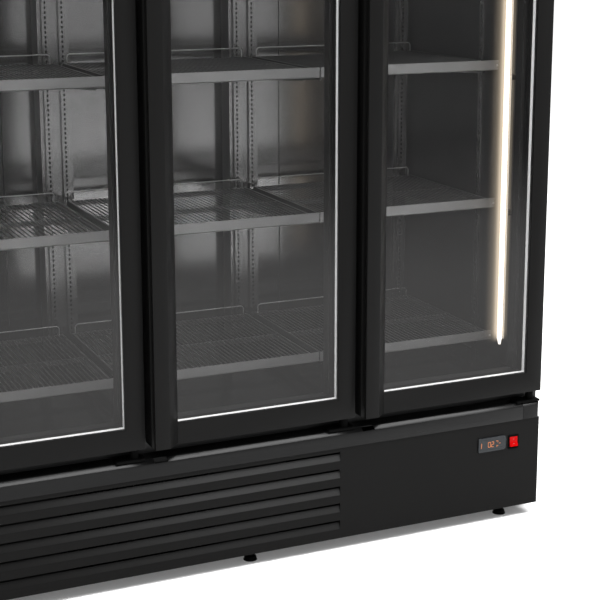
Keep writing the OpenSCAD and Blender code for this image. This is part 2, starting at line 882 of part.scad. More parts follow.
// Backing channel and wall clips of both light bars.
module light_backs() {
    back_x = light_px;
    clip_w = inner_w / 2 - back_x - light_back_t;
    clip_step = (light_h - clip_low - clip_high) / (clip_count - 1);
    color("Gray") at_face() for (side = [0, 1]) mirror([side, 0, 0]) {
        translate([back_x, light_d - light_back_w / 2, light_z + light_tip])
            cube([light_back_t, light_back_w, light_h]);
        for (k = [0:clip_count - 1])
            translate([back_x + light_back_t, light_d - light_back_w / 2,
                light_z + light_tip + clip_low + k * clip_step - clip_h / 2])
                cube([clip_w, light_back_w, clip_h]);
    }
}

// Round-fronted diffusers with a tapered clear tip.
module light_tubes() {
    color("White") at_face() for (side = [0, 1]) mirror([side, 0, 0])
        translate([light_px, light_d, light_z]) intersection() {
            union() {
                translate([0, 0, light_tip]) cylinder(h = light_h, r = light_r);
                cylinder(h = light_tip, r1 = light_r * 0.45, r2 = light_r);
            }
            translate([-2 * light_r, -2 * light_r, -1])
                cube([2 * light_r, 4 * light_r, light_h + light_tip + 2]);
        }
}

// Three arms, a motor and a shaft behind a round opening; the shaft points to -Y.
module fan_mount(r, depth) {
    start = hub_r - arm_t;
    for (a = [90, 210, 330]) rotate([0, a, 0]) {
        translate([start, depth + 1, -arm_w / 2]) cube([r + 2 * sheet_t - start, arm_t, arm_w]);
        translate([r + 1, sheet_t / 2, -arm_w / 2]) cube([sheet_t, depth + arm_t / 2, arm_w]);
    }
    translate([0, depth + motor_len, 0]) rotate([90, 0, 0]) cylinder(h = motor_len, r = hub_r);
    translate([0, depth + 2, 0]) rotate([90, 0, 0]) cylinder(h = depth - 4, r = shaft_r);
}

// Fan wheel with a bored hub and pitched blades around the Y axis.
module fan_wheel(r, depth) {
    hub_len = depth - 10;
    translate([0, depth - 1, 0]) rotate([90, 0, 0]) difference() {
        union() {
            cylinder(h = hub_len, r = hub_r);
            for (k = [0:blade_count - 1]) rotate(k * 360 / blade_count)
                intersection() {
                    translate([hub_r - 3, 0, hub_len / 2]) rotate([blade_angle, 0, 0])
                        translate([0, -blade_w / 2, -blade_t / 2]) cube([r, blade_w, blade_t]);
                    translate([0, 0, -hub_len]) cylinder(h = 3 * hub_len, r = r - fan_room);
                }
        }
        translate([0, 0, -1]) cylinder(h = hub_len + 2, r = shaft_r + shaft_play);
    }
}

// Sheet housing below the roof with two fan openings.
module evaporator_case() {
    cz = evap_z + evap_h / 2;
    color("Gainsboro") at_face() {
        difference() {
            block(0, evap_w, evap_d, evap_depth, evap_z, evap_h);
            block(0, evap_w - 2 * sheet_t, evap_d + sheet_t, evap_depth, evap_z + sheet_t, evap_h);
            for (side = [-1, 1]) translate([side * evap_fan_x, evap_d, cz]) rotate([90, 0, 0])
                cylinder(h = 3 * sheet_t, r = evap_fan_r, center = true);
        }
        for (side = [-1, 1]) translate([side * evap_fan_x, evap_d, cz]) fan_mount(evap_fan_r, fan_shaft);
    }
}

// Finned evaporator block behind the fans.
module evaporator_coil() {
    w = evap_w - 2 * coil_inset;
    step = w / coil_fins;
    color("Silver") at_face() translate([-w / 2, evap_d + coil_back, evap_z + sheet_t])
        linear_extrude(coil_h) {
            translate([0, coil_block]) square([w, coil_depth - 2 * coil_block]);
            for (i = [0:coil_fins - 1]) translate([i * step, 0]) square([step / 2, coil_depth]);
        }
}

module evaporator_fan(side) {
    color("Black") at_face() translate([side * evap_fan_x, evap_d, evap_z + evap_h / 2])
        fan_wheel(evap_fan_r, fan_shaft);
}

module evaporator_fan_left() {
    evaporator_fan(-1);
}

module evaporator_fan_right() {
    evaporator_fan(1);
}

// Finned condenser behind the louvres.
module condenser_coil() {
    step = cond_w / fin_count;
    color("Silver") at_face() translate([-cond_x - cond_w / 2, cond_d, tray_top]) linear_extrude(cond_h) {
        translate([0, cond_block]) square([cond_w, cond_depth - 2 * cond_block]);
        for (i = [0:fin_count - 1]) translate([i * step, 0]) square([step / 2, cond_depth]);
    }
}

// Shroud that carries the condenser fan.
module fan_shroud() {
    w = cond_w;
    color("Gray") at_face() translate([-cond_x, fan_d, cond_cz]) {
        difference() {
            translate([-w / 2, 0, -cond_h / 2]) cube([w, shroud_depth, cond_h]);
            translate([sheet_t - w / 2, -1, sheet_t - cond_h / 2])
                cube([w - 2 * sheet_t, shroud_depth + 1 - sheet_t, cond_h - 2 * sheet_t]);
            translate([0, shroud_depth, 0]) rotate([90, 0, 0])
                cylinder(h = 3 * sheet_t, r = cond_fan_r, center = true);
        }
        translate([0, shroud_depth - sheet_t, 0]) fan_mount(cond_fan_r, fan_shaft);
    }
}

module condenser_fan() {
    color("Black") at_face() translate([-cond_x, fan_d + shroud_depth - sheet_t, cond_cz])
        fan_wheel(cond_fan_r, fan_shaft);
}

// Domed compressor on its base plate with two pipe stubs.
module compressor() {
    color("Black") at_face() translate([comp_x, comp_d, tray_top]) {
        block(0, 2 * comp_r + 30, -comp_r, 2 * comp_r, 0, 4);
        rotate_extrude() {
            square([comp_r, comp_h - comp_r * 0.6]);
            translate([0, comp_h - comp_r]) square([comp_r * 0.6, comp_r]);
            translate([comp_r * 0.6, comp_h - comp_r * 0.4]) intersection() {
                circle(r = comp_r * 0.4);
                square(comp_r);
            }
            translate([0, comp_h - comp_r * 0.61]) square([comp_r, comp_r * 0.21]);
        }
        for (a = [-40, 40]) rotate(a) translate([0, -comp_r + 3, comp_h * 0.4]) rotate([90, 0, 0])
            cylinder(h = 30, r = 5);
    }
}

// Door frame with a groove for the glass and bores for the hinge pins, from its left front corner.
module door_frame() {
    w = door_w - handle_stile - hinge_stile;
    h = door_h - 2 * door_rail;
    g = glass_seat;
    difference() {
        cube([door_w, door_t, door_h]);
        translate([handle_stile, -1, door_rail]) cube([w, door_t + 2, h]);
        translate([handle_stile - g, glass_lip, door_rail - g])
            cube([w + 2 * g, groove_d - glass_lip, h + 2 * g]);
        for (z = [0, door_h]) translate([door_w - pin_inset, pin_depth, z])
            cylinder(h = 2 * (pin_seat + 1), r = pin_r + pin_play, center = true);
    }
}

// Two panes with play in the groove.
module door_glass() {
    w = door_w - handle_stile - hinge_stile + 2 * (glass_seat - glass_play);
    h = door_h - 2 * (door_rail - glass_seat + glass_play);
    for (d = [glass_lip + glass_play / 2, glass_lip + pane_t + pane_gap + glass_play / 2])
        translate([handle_stile - glass_seat + glass_play, d, door_rail - glass_seat + glass_play])
            cube([w, pane_t, h]);
}

// Hollow spacer bar around the edge between the panes.
module door_spacer() {
    s = glass_seat - glass_play - 1;
    w = door_w - handle_stile - hinge_stile;
    h = door_h - 2 * door_rail;
    translate([handle_stile, 0, door_rail]) along_d(glass_lip + pane_t + glass_play / 2, pane_gap)
        difference() {
            translate([-s, -s]) square([w + 2 * s, h + 2 * s]);
            translate([spacer_show, spacer_show]) square([w - 2 * spacer_show, h - 2 * spacer_show]);
        }
}

// Ribbed seal around the back of the door, kept inside the hinge line.
module door_gasket() {
    g = gasket_w;
    w = door_w - pin_inset - gasket_clear - gasket_inset;
    h = door_h - 2 * gasket_inset;
    translate([gasket_inset, 0, gasket_inset]) along_d(door_t, gasket_t - gasket_room) difference() {
        square([w, h]);
        translate([g, g]) square([w - 2 * g, h - 2 * g]);
    }
}

// Open pull profile with a finger channel behind its flat front.
module handle_profile() {
    w = handle_wall;
    r = handle_reach;
    s = handle_stile;
    k = w * 1.41;
    polygon([[0, -r], [handle_flat, -r], [s, 0], [w * 4, 0], [w * 4, -w * 0.7], [s - k - w * 0.7, -w * 0.7],
        [handle_flat - w * 0.41, w - r], [w, w - r], [w, w - r + handle_lip], [0, w - r + handle_lip]]);
}

module door_handle() {
    translate([0, 0, handle_end]) linear_extrude(door_h - 2 * handle_end) handle_profile();
}

// Places a door piece; i is -1, 0 or 1 for the left, middle and right door.
module at_door(i) {
    at_face() translate([i * door_pitch - door_w / 2, 0, door_z]) children();
}

module door_left_frame() {
    color("Black") at_door(-1) door_frame();
}

module door_left_handle() {
    color("Black") at_door(-1) door_handle();
}

module door_left_glass() {
    color("LightBlue", 0.3) at_door(-1) door_glass();
}

module door_left_spacer() {
    color("WhiteSmoke") at_door(-1) door_spacer();
}

module door_left_gasket() {
    color("DimGray") at_door(-1) door_gasket();
}

module door_middle_frame() {
    color("Black") at_door(0) door_frame();
}

module door_middle_handle() {
    color("Black") at_door(0) door_handle();
}

module door_middle_glass() {
    color("LightBlue", 0.3) at_door(0) door_glass();
}

module door_middle_spacer() {
    color("WhiteSmoke") at_door(0) door_spacer();
}

module door_middle_gasket() {
    color("DimGray") at_door(0) door_gasket();
}

module door_right_frame() {
    color("Black") at_door(1) door_frame();
}

module door_right_handle() {
    color("Black") at_door(1) door_handle();
}

module door_right_glass() {
    color("LightBlue", 0.3) at_door(1) door_glass();
}

module door_right_spacer() {
    color("WhiteSmoke") at_door(1) door_spacer();
}

module door_right_gasket() {
    color("DimGray") at_door(1) door_gasket();
}

base_tray();
levelling_feet();
side_wall_left();
side_wall_right();
rear_wall();
roof_panel();
floor_panel();
front_posts();
front_sill();
front_header();
lower_hinge_rail();
upper_hinge_rail();
rail_end_caps();
plinth_panel();
rear_grille();
cable_gland();
controller_case();
controller_lens();
switch_bezel();
switch_rocker();
lower_hinge_plates();
upper_hinge_plates();
rear_posts();
corner_posts();
slotted_strips();
side_strips();
shelf_brackets();
shelves_left();
shelves_middle();
shelves_right();
price_strips();
rear_stops();
light_backs();
light_tubes();
evaporator_case();
evaporator_coil();
evaporator_fan_left();
evaporator_fan_right();
condenser_coil();
fan_shroud();
condenser_fan();
compressor();
door_left_frame();
door_left_handle();
door_left_glass();
door_left_spacer();
door_left_gasket();
door_middle_frame();
door_middle_handle();
door_middle_glass();
door_middle_spacer();
door_middle_gasket();
door_right_frame();
door_right_handle();
door_right_glass();
door_right_spacer();
door_right_gasket();
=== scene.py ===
"""Finishes, small fittings and a studio for the glass door merchandiser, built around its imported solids."""

import json
import math

import bpy
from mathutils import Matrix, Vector

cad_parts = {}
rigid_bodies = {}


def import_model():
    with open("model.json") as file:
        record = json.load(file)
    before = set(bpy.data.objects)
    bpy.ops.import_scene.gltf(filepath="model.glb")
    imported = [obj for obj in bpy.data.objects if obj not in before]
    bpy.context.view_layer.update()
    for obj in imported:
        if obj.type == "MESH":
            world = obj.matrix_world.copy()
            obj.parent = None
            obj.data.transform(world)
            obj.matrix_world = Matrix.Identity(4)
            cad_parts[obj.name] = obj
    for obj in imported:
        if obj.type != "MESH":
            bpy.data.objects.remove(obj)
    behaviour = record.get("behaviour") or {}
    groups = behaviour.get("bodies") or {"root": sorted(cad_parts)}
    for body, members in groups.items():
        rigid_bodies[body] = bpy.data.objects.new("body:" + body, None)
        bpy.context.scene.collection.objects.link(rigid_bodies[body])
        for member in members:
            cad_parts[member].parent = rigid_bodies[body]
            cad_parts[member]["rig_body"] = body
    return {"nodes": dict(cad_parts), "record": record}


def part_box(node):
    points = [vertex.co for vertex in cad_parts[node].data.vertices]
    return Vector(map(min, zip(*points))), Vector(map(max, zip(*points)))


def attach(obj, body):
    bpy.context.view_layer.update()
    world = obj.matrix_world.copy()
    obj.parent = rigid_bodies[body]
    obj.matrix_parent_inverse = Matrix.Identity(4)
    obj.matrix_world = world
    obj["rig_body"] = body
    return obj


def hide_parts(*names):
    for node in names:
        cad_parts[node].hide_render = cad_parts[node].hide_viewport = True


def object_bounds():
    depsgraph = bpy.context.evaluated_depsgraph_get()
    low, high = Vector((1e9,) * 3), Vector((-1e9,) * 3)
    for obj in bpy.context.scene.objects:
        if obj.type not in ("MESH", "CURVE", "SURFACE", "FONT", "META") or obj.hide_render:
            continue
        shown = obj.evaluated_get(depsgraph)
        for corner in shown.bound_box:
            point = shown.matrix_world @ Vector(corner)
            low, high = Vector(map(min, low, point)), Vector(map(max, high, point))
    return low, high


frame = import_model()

bl_info = {
    "name": "Glass Door Merchandiser",
    "version": (1, 0, 0),
    "blender": (4, 5, 0),
    "location": "View3D > Sidebar > Merchandiser",
    "description": "Coats the cabinet, adds its small fittings and sets up the studio",
    "category": "Object",
}

NODES = frame["nodes"]
CAD_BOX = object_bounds()
MM = 0.001
DOORS = ("left", "middle", "right")
# The near-black finish given here is painted shade: the condenser coil, base tray, lower hinge plates and
# switch bezel are made near black so they sink into the dark around them, and the black plastic feet are
# darkened further into their shade.
OWN_FINISH = {
    "condenser_coil": "deep_black", "base_tray": "deep_black", "lower_hinge_plates": "deep_black",
    "levelling_feet": "deep_black", "switch_bezel": "deep_black", "controller_case": "window",
    "rear_stops": "bright_wire"}

# A wall's own face counts as inside the cabinet by this much.
FACE_MARGIN = 0.2 * MM
INSIDE = (
    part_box("side_wall_right")[0].x + FACE_MARGIN,
    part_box("rear_wall")[0].y + FACE_MARGIN,
    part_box("roof_panel")[0].z + FACE_MARGIN)
SEAM_X = 378 * MM
# Heights between which the liner and the posts darken downwards as painted shade, and the share of their
# colour that is left below.
LOW_SHADE_ZONE = (0.58, 0.78, 0.5)

POST_HALF = 40 * MM
CORNER_HALF = 20 * MM
STRIP_OFFSET = 21 * MM
STRIP_HALF = 8.5 * MM
POST_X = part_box("rear_posts")[1].x - POST_HALF
POST_SIDES = ((POST_X, POST_HALF), (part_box("corner_posts")[1].x - CORNER_HALF, CORNER_HALF))
STRIPS = (POST_X - STRIP_OFFSET, POST_X + STRIP_OFFSET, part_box("slotted_strips")[1].x - STRIP_HALF)
STRIP_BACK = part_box("slotted_strips")[1].y

LIGHT_LOW, LIGHT_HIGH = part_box("light_tubes")
LIGHT_X = LIGHT_HIGH.x
LIGHT_R = (LIGHT_HIGH.y - LIGHT_LOW.y) / 2
LIGHT_END = LIGHT_LOW.z
TIP_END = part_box("light_backs")[0].z
GLOW_FADE = 35 * MM

SEAL_WIDTH = 2.6 * MM
CLIP_EDGE = LIGHT_X + 6.5 * MM


def colour_property(name, description, default):
    """A colour swatch in the sidebar."""
    return bpy.props.FloatVectorProperty(
        name=name, description=description, default=default, subtype="COLOR", size=3, min=0.0, max=1.0)


def length_property(name, description, default):
    """A length in metres in the sidebar."""
    return bpy.props.FloatProperty(
        name=name, description=description, default=default, unit="LENGTH", precision=5)


def number_property(name, description, default):
    """A plain number in the sidebar."""
    return bpy.props.FloatProperty(name=name, description=description, default=default)


class FinishColours(bpy.types.PropertyGroup):
    """Colours of the finishes."""

    coat: colour_property(
        "Door coat", "Textured black of the doors and the plinth", (0.0046, 0.0045, 0.0044))
    skin: colour_property("Cabinet skin", "Smooth black of the outside panels", (0.008, 0.008, 0.0082))
    plastic: colour_property("Black plastic", "Moulded caps, bezels and feet", (0.012, 0.012, 0.012))
    rail: colour_property("Rail", "Dark satin of the hinge rails", (0.0045, 0.0045, 0.0046))
    liner: colour_property("Liner", "Glossy grey of the inside walls", (0.154, 0.154, 0.154))
    post: colour_property("Posts", "Grey of the posts, strips and brackets", (0.165, 0.165, 0.165))
    wire: colour_property("Shelf wire", "Dark coat of the wire shelves", (0.036, 0.036, 0.036))
    price: colour_property("Price strips", "Grey of the strips on the shelf fronts", (0.12, 0.12, 0.12))
    spacer: colour_property("Spacer bar", "Pale metal between the panes", (0.86, 0.86, 0.86))
    rocker: colour_property("Rocker", "Red of the switch", (0.36, 0.0008, 0.001))
    window: colour_property("Controller window", "Smoked window of the controller", (0.019, 0.021, 0.023))
    amber: colour_property("Display", "Amber of the lit figures", (1.0, 0.27, 0.04))
    mark: colour_property("Marks", "Pale red of the printed switch marks", (0.40, 0.10, 0.10))
    core: colour_property("Light core", "White of the light bars' bright middle", (1.0, 0.92, 0.82))
    # The glow beside the light bars is painted light on their backings and wings.
    lamp: colour_property("Light glow", "Warm white of the glow beside the light bars", (1.0, 0.83, 0.62))
    steel: colour_property("Steel", "Plated steel of hinges and screws", (0.42, 0.42, 0.43))
    fin: colour_property("Fins", "Bare metal of the coils", (0.62, 0.62, 0.62))
    # The sheet colour is a black coat darkened further as painted shade, so the machine space behind the
    # louvres reads dark.
    sheet: colour_property("Sheet", "Coated sheet of the machine space", (0.016, 0.016, 0.0165))
    case: colour_property("Evaporator", "Pale coat of the evaporator housing", (0.34, 0.34, 0.34))


class FittingSizes(bpy.types.PropertyGroup):
    """Sizes of the small fittings."""

    edge: length_property("Edge radius", "Rounding of the coated edges", 0.9 * MM)
    fine_edge: length_property("Fine edge radius", "Rounding of small mouldings", 0.4 * MM)
    figure_h: length_property("Figure height", "Height of a lit figure", 12.5 * MM)
    figure_w: length_property("Figure width", "Width of a lit figure", 6.4 * MM)
    stroke: length_property("Stroke", "Width of a stroke of a lit figure", 1.5 * MM)
    relief: length_property("Relief", "Height of printed marks above their ground", 0.25 * MM)
    screw_r: length_property("Screw radius", "Radius of a screw head", 4.0 * MM)
    pin_r: length_property("Pin radius", "Radius of the pins at the strip ends", 2.6 * MM)
    # The wings are clear sheets that carry the painted glow beside the light bars.
    wing: length_property("Inner wing", "Reach of a light bar's clear wing into the cabinet", 45.0 * MM)
    wing_outer: length_property("Outer wing", "Reach of a light bar's clear wing to the wall", 26.0 * MM)
    guard_wire: length_property("Guard wire", "Radius of the fan guard wires", 1.3 * MM)


class StudioSettings(bpy.types.PropertyGroup):
    """Camera, lamps and background."""

    eye: bpy.props.FloatVectorProperty(
        name="Camera place", description="Where the camera stands", default=(-1.1733, -3.2272, 1.4104),
        subtype="TRANSLATION", unit="LENGTH", size=3)
    turn: bpy.props.FloatProperty(
        name="Camera turn", description="Turn of the camera to the right",
        default=math.radians(24.21), unit="ROTATION")
    tilt: bpy.props.FloatProperty(
        name="Camera tilt", description="Tilt of the camera downwards",
        default=math.radians(11.71), unit="ROTATION")
    lens: number_property("Lens", "Focal length in millimetres", 86.9)
    shift: number_property("Frame shift", "Upward shift of the frame as a share of its width", -0.11)
    overhead: number_property("Overhead lamp", "Power of the wide soft box overhead in watts", 270.0)
    strip: number_property("Front lamp", "Power of the long soft box over the front in watts", 300.0)
    ambient: number_property("Room light", "Strength of the even light from all round", 0.6)
    floor_glow: number_property("Floor glow", "Light that the floor adds for the eye", 0.12)


def colours():
    """The colours set in the sidebar."""
    return bpy.context.scene.merchandiser_colours


def sizes():
    """The sizes set in the sidebar."""
    return bpy.context.scene.merchandiser_sizes


def studio():
    """The studio settings of the sidebar."""
    return bpy.context.scene.merchandiser_studio


class Value:
    """An output of a node that can stand in sums as a number does."""

    def __init__(self, finish, node, socket=0):
        self.finish, self.node, self.socket = finish, node, node.outputs[socket]

    def __getitem__(self, name):
        return Value(self.finish, self.node, name)

    def math(self, operation, *others):
        return self.finish.add("Math", {"operation": operation}, dict(enumerate((self, *others))))

    def swapped(self, operation, other):
        return self.finish.add("Math", {"operation": operation}, {0: other, 1: self})

    def __add__(self, other):
        return self.math("ADD", other)

    def __sub__(self, other):
        return self.math("SUBTRACT", other)

    def __rsub__(self, other):
        return self.swapped("SUBTRACT", other)

    def __mul__(self, other):
        return self.math("MULTIPLY", other)

    def __truediv__(self, other):
        return self.math("DIVIDE", other)

    def __rtruediv__(self, other):
        return self.swapped("DIVIDE", other)

    def __lt__(self, other):
        return self.math("LESS_THAN", other)

    def __gt__(self, other):
        return self.math("GREATER_THAN", other)

    def __abs__(self):
        return self.math("ABSOLUTE")

    __radd__ = __add__
    __rmul__ = __mul__


class Finish:
    """A material and the nodes that make it."""

    def __init__(self, name, tree=None):
        if tree is None:
            self.material = bpy.data.materials.new(name)
            self.material.use_nodes = True
            tree = self.material.node_tree
        self.tree = tree
        self.tree.nodes.clear()

    def add(self, kind, settings=None, sockets=None):
        """Adds one node, with its settings made first and its sockets given values or links after."""
        node = self.tree.nodes.new("ShaderNode" + kind)
        for key, value in (settings or {}).items():
            if key == "stops":
                self.set_stops(node.color_ramp, value)
            else:
                setattr(node, key, value)
        for key, value in (sockets or {}).items():
            if isinstance(value, Value):
                self.tree.links.new(value.socket, node.inputs[key])
            else:
                node.inputs[key].default_value = value
        return Value(self, node) if node.outputs else node

    @staticmethod
    def set_stops(ramp, stops):
        while len(ramp.elements) < len(stops):
            ramp.elements.new(1.0)
        for element, (place, level) in zip(ramp.elements, stops):
            element.position = place
            element.color = (level, level, level, 1.0)

    def place(self, scale=(1, 1, 1)):
        """The point on the piece, stretched along the axes."""
        return self.add("Mapping", {}, {"Vector": self.add("TexCoord")["Object"], "Scale": scale})

    def xyz(self):
        """The point's three coordinates."""
        split = self.add("SeparateXYZ", {}, {"Vector": self.add("TexCoord")["Object"]})
        return split["X"], split["Y"], split["Z"]

    def noise(self, scale, detail=2.0, stretch=(1, 1, 1)):
        """Even random grain; scale is grains per metre."""
        return self.add("TexNoise", {}, {"Vector": self.place(stretch), "Scale": scale, "Detail": detail})

    def cells(self, scale, stretch=(1, 1, 1)):
        """Distance to scattered points; scale is points per metre."""
        return self.add("TexVoronoi", {}, {"Vector": self.place(stretch), "Scale": scale})["Distance"]

    def blend(self, first, second, share):
        """A colour between two colours."""
        pair = {0: share, 6: (*first, 1.0) if isinstance(first, tuple) else first,
                7: (*second, 1.0) if isinstance(second, tuple) else second}
        return Value(self, self.add("Mix", {"data_type": "RGBA"}, pair).node, 2)

    def step(self, value, start, end, low=0.0, high=1.0):
        """A smooth step from low to high while value goes from start to end."""
        return self.add("MapRange", {"interpolation_type": "SMOOTHSTEP"},
                        {"Value": value, "From Min": start, "From Max": end, "To Min": low, "To Max": high})

    def bump(self, height, depth, strength=1.0):
        """A surface raised by height times depth, in metres."""
        return self.add("Bump", {}, {"Height": height, "Distance": depth, "Strength": strength})

    def shade(self, **sockets):
        """Closes the material with one principled surface."""
        named = {key.replace("_", " "): value for key, value in sockets.items()}
        surface = self.add("BsdfPrincipled", {}, named)
        self.add("OutputMaterial", {}, {"Surface": surface})
        return self.material


def shades(colour, dark, light):
    """A darker and a lighter version of a colour."""
    return tuple(c * dark for c in colour), tuple(c * light for c in colour)


def powder_coat(name, colour, gloss=0.40, shine=0.06):
    """Fine textured powder coat: a tight pebbled grain with faint clouds in its sheen."""
    f = Finish(name)
    grain = f.noise(1400.0, 3.0)
    clouds = f.noise(7.0, 4.0)
    dark, light = shades(colour, 0.86, 1.14)
    return f.shade(
        Base_Color=f.blend(dark, light, clouds * 0.6 + grain * 0.4),
        Roughness=gloss - 0.05 + clouds * 0.06 + grain * 0.06,
        Specular_IOR_Level=shine,
        Normal=f.bump(grain, 0.00002, 0.3))


def louvred_coat(name, colour, dust_and_painted_light, face):
    """Powder coat with a painted highlight on the sloping blades behind the face, standing for the light they
    catch; it is weaker on the lower blades and thins out to the left.
    """
    f = Finish(name)
    x, y, z = f.xyz()
    grain = f.noise(1400.0, 3.0)
    clouds = f.noise(7.0, 4.0)
    # Painted highlight: a paler colour on the blades, weaker low down and fading to the left.
    high = f.step(z, 0.05, 0.2, 0.35)
    painted_blade_light = f.step(y, face + 0.2 * MM, face + 0.8 * MM) * f.step(x, -0.66, 0.0, 0.12) * high
    dark, light = shades(colour, 0.86, 1.14)
    coat = f.blend(dark, light, clouds * 0.6 + grain * 0.4)
    return f.shade(
        Base_Color=f.blend(coat, dust_and_painted_light, painted_blade_light * (0.85 + grain * 0.3)),
        Roughness=0.34 + clouds * 0.06 + painted_blade_light * 0.2,
        Specular_IOR_Level=0.05,
        Normal=f.bump(grain, 0.00002, 0.3))


def smooth_coat(name, colour, gloss=0.36, shine=0.3):
    """Smooth sheet coat with the slight ripple of a sprayed skin."""
    f = Finish(name)
    ripple = f.noise(220.0, 1.0)
    smears = f.noise(3.5, 5.0)
    dark, light = shades(colour, 0.9, 1.1)
    return f.shade(
        Base_Color=f.blend(dark, light, smears),
        Roughness=gloss - 0.05 + smears * 0.1,
        Specular_IOR_Level=shine,
        Normal=f.bump(ripple, 0.00004, 0.4))


def moulded_plastic(name, colour, gloss=0.5, shine=0.3):
    """Black moulding with a spark-eroded grain."""
    f = Finish(name)
    grain = f.cells(1800.0)
    clouds = f.noise(40.0, 3.0)
    dark, light = shades(colour, 0.85, 1.2)
    return f.shade(
        Base_Color=f.blend(dark, light, clouds),
        Roughness=gloss + clouds * 0.08,
        Specular_IOR_Level=shine,
        Normal=f.bump(grain, 0.00005, 0.45))


def drawn_metal(name, colour, along, metal=0.35, gloss=0.34, shine=0.5):
    """Extruded or rolled metal with fine draw lines; along is the stretch that runs with them."""
    f = Finish(name)
    lines = f.noise(900.0, 2.0, along)
    clouds = f.noise(5.0, 3.0)
    dark, light = shades(colour, 0.85, 1.15)
    return f.shade(
        Base_Color=f.blend(dark, light, lines * 0.7 + clouds * 0.3),
        Roughness=gloss - 0.06 + lines * 0.12,
        Metallic=metal + clouds * 0.04,
        Specular_IOR_Level=shine,
        Normal=f.bump(lines, 0.00003, 0.35))


def lined_skin(name, skin, liner, seams, gloss):
    """Sprayed black outside; inside, a glossy liner sheet with slow waves, fine dark seams and painted shade
    that darkens it low down.
    """
    f = Finish(name)
    x, y, z = f.xyz()
    inside = (abs(x) < INSIDE[0]) * (y < INSIDE[1]) * (z < INSIDE[2])
    waves = f.noise(2.2, 2.0)
    ripple = f.noise(220.0, 1.0)
    smears = f.noise(9.0, 5.0)
    seam = 0.0
    for place in seams:
        seam = (abs(x - place) < 0.0011) + seam
    seam = seam * inside * (y > INSIDE[1] - 0.001)
    dark, light = shades(liner, 0.9, 1.08)
    # Painted shade: the liner fades towards black low down, between the heights of the shade zone.
    sheet = f.blend((0.0, 0.0, 0.0), f.blend(dark, light, smears), f.step(z, *LOW_SHADE_ZONE))
    sheet = f.blend(sheet, (0.02, 0.02, 0.02), seam)
    dark, light = shades(skin, 0.9, 1.1)
    return f.shade(
        Base_Color=f.blend(f.blend(dark, light, smears), sheet, inside),
        Roughness=0.34 + inside * (gloss - 0.34) + smears * 0.05 + seam * 0.4,
        Metallic=inside * 0.92 - seam * 0.6,
        Specular_IOR_Level=0.16,
        Normal=f.bump(waves * inside + ripple * 0.008 - seam * 0.2, 0.0012, 0.12))


def post_coat(name, colour, strips):
    """Coated posts and strips with draw lines; the ground behind the strips' slots is painted black as their
    shade, the posts' side faces carry painted shade, and the coat darkens low down as painted shade.
    """
    f = Finish(name)
    x, y, z = f.xyz()
    lines = f.noise(900.0, 2.0, (1, 1, 0.01))
    # Painted shade: the post face behind each strip's slots is made black.
    slot = 0.0
    for place in strips:
        slot = (abs(abs(x) - place) < 0.0035) + slot
    slot = slot * (y > STRIP_BACK - 0.0005)
    # Painted shade: the posts' side faces are darkened.
    for place, half in POST_SIDES:
        slot = (abs(abs(abs(x) - place) - half) < 0.0004) * (y > STRIP_BACK) * 0.35 + slot
    slot = slot.math("MINIMUM", 1.0)
    dark, light = shades(colour, 0.9, 1.1)
    # Painted shade: the coat fades towards black low down.
    coat = f.blend((0.0, 0.0, 0.0), f.blend(dark, light, lines), f.step(z, *LOW_SHADE_ZONE))
    return f.shade(
        Base_Color=f.blend(coat, (0.004, 0.004, 0.004), slot),
        Roughness=0.18 + lines * 0.08 + slot * 0.5,
        Metallic=0.75 - slot * 0.75,
        Specular_IOR_Level=0.5,
        Normal=f.bump(lines, 0.00002, 0.3))


def drawn_wire(name, colour, metal, gloss):
    """Coated or plated wire, slightly uneven along its length."""
    f = Finish(name)
    drips = f.noise(160.0, 2.0)
    dark, light = shades(colour, 0.82, 1.15)
    return f.shade(
        Base_Color=f.blend(dark, light, drips),
        Roughness=gloss + drips * 0.1,
        Metallic=metal,
        Specular_IOR_Level=0.35,
        Normal=f.bump(drips, 0.0002, 0.4))


def price_profile(name, colour):
    """Extruded profile with faint lines along its length."""
    f = Finish(name)
    lines = f.noise(700.0, 2.0, (0.02, 1, 1))
    clouds = f.noise(12.0, 3.0)
    dark, light = shades(colour, 0.93, 1.07)
    return f.shade(
        Base_Color=f.blend(dark, light, clouds * 0.5 + lines * 0.5),
        Roughness=0.42 + lines * 0.1,
        Specular_IOR_Level=0.3,
        Normal=f.bump(lines, 0.00004, 0.4))


def clear_glass(name):
    """Coated pane: light goes straight through, with a faint mirror and a faint painted glow low down."""
    f = Finish(name)
    _, _, z = f.xyz()
    streaks = f.noise(4.0, 4.0, (1, 1, 0.3))
    mirror = f.add("BsdfGlossy", {}, {"Color": (1, 1, 1, 1), "Roughness": 0.01 + streaks * 0.02})
    clear = f.add("BsdfTransparent", {}, {"Color": (0.988, 0.988, 0.988, 1.0)})
    # Painted light: a faint pale glow on the lower part of the pane, from about 0.95 m down.
    veil = f.step(z, 0.95, 0.6) * f.step(z, 0.34, 0.56, 0.85) * (0.0105 + streaks * 0.003) + 0.002
    pane_glow = f.add("Emission", {}, {"Color": (1.0, 0.99, 0.985, 1.0), "Strength": 1.0})
    glowing_pane = f.add("MixShader", {}, {0: veil, 1: clear, 2: pane_glow})
    facing = f.add("LayerWeight", {}, {"Blend": 0.5})["Facing"]
    both = f.add("MixShader", {}, {0: facing.math("POWER", 5.0) * 0.5, 1: glowing_pane, 2: mirror})
    f.add("OutputMaterial", {}, {"Surface": both})
    return f.material


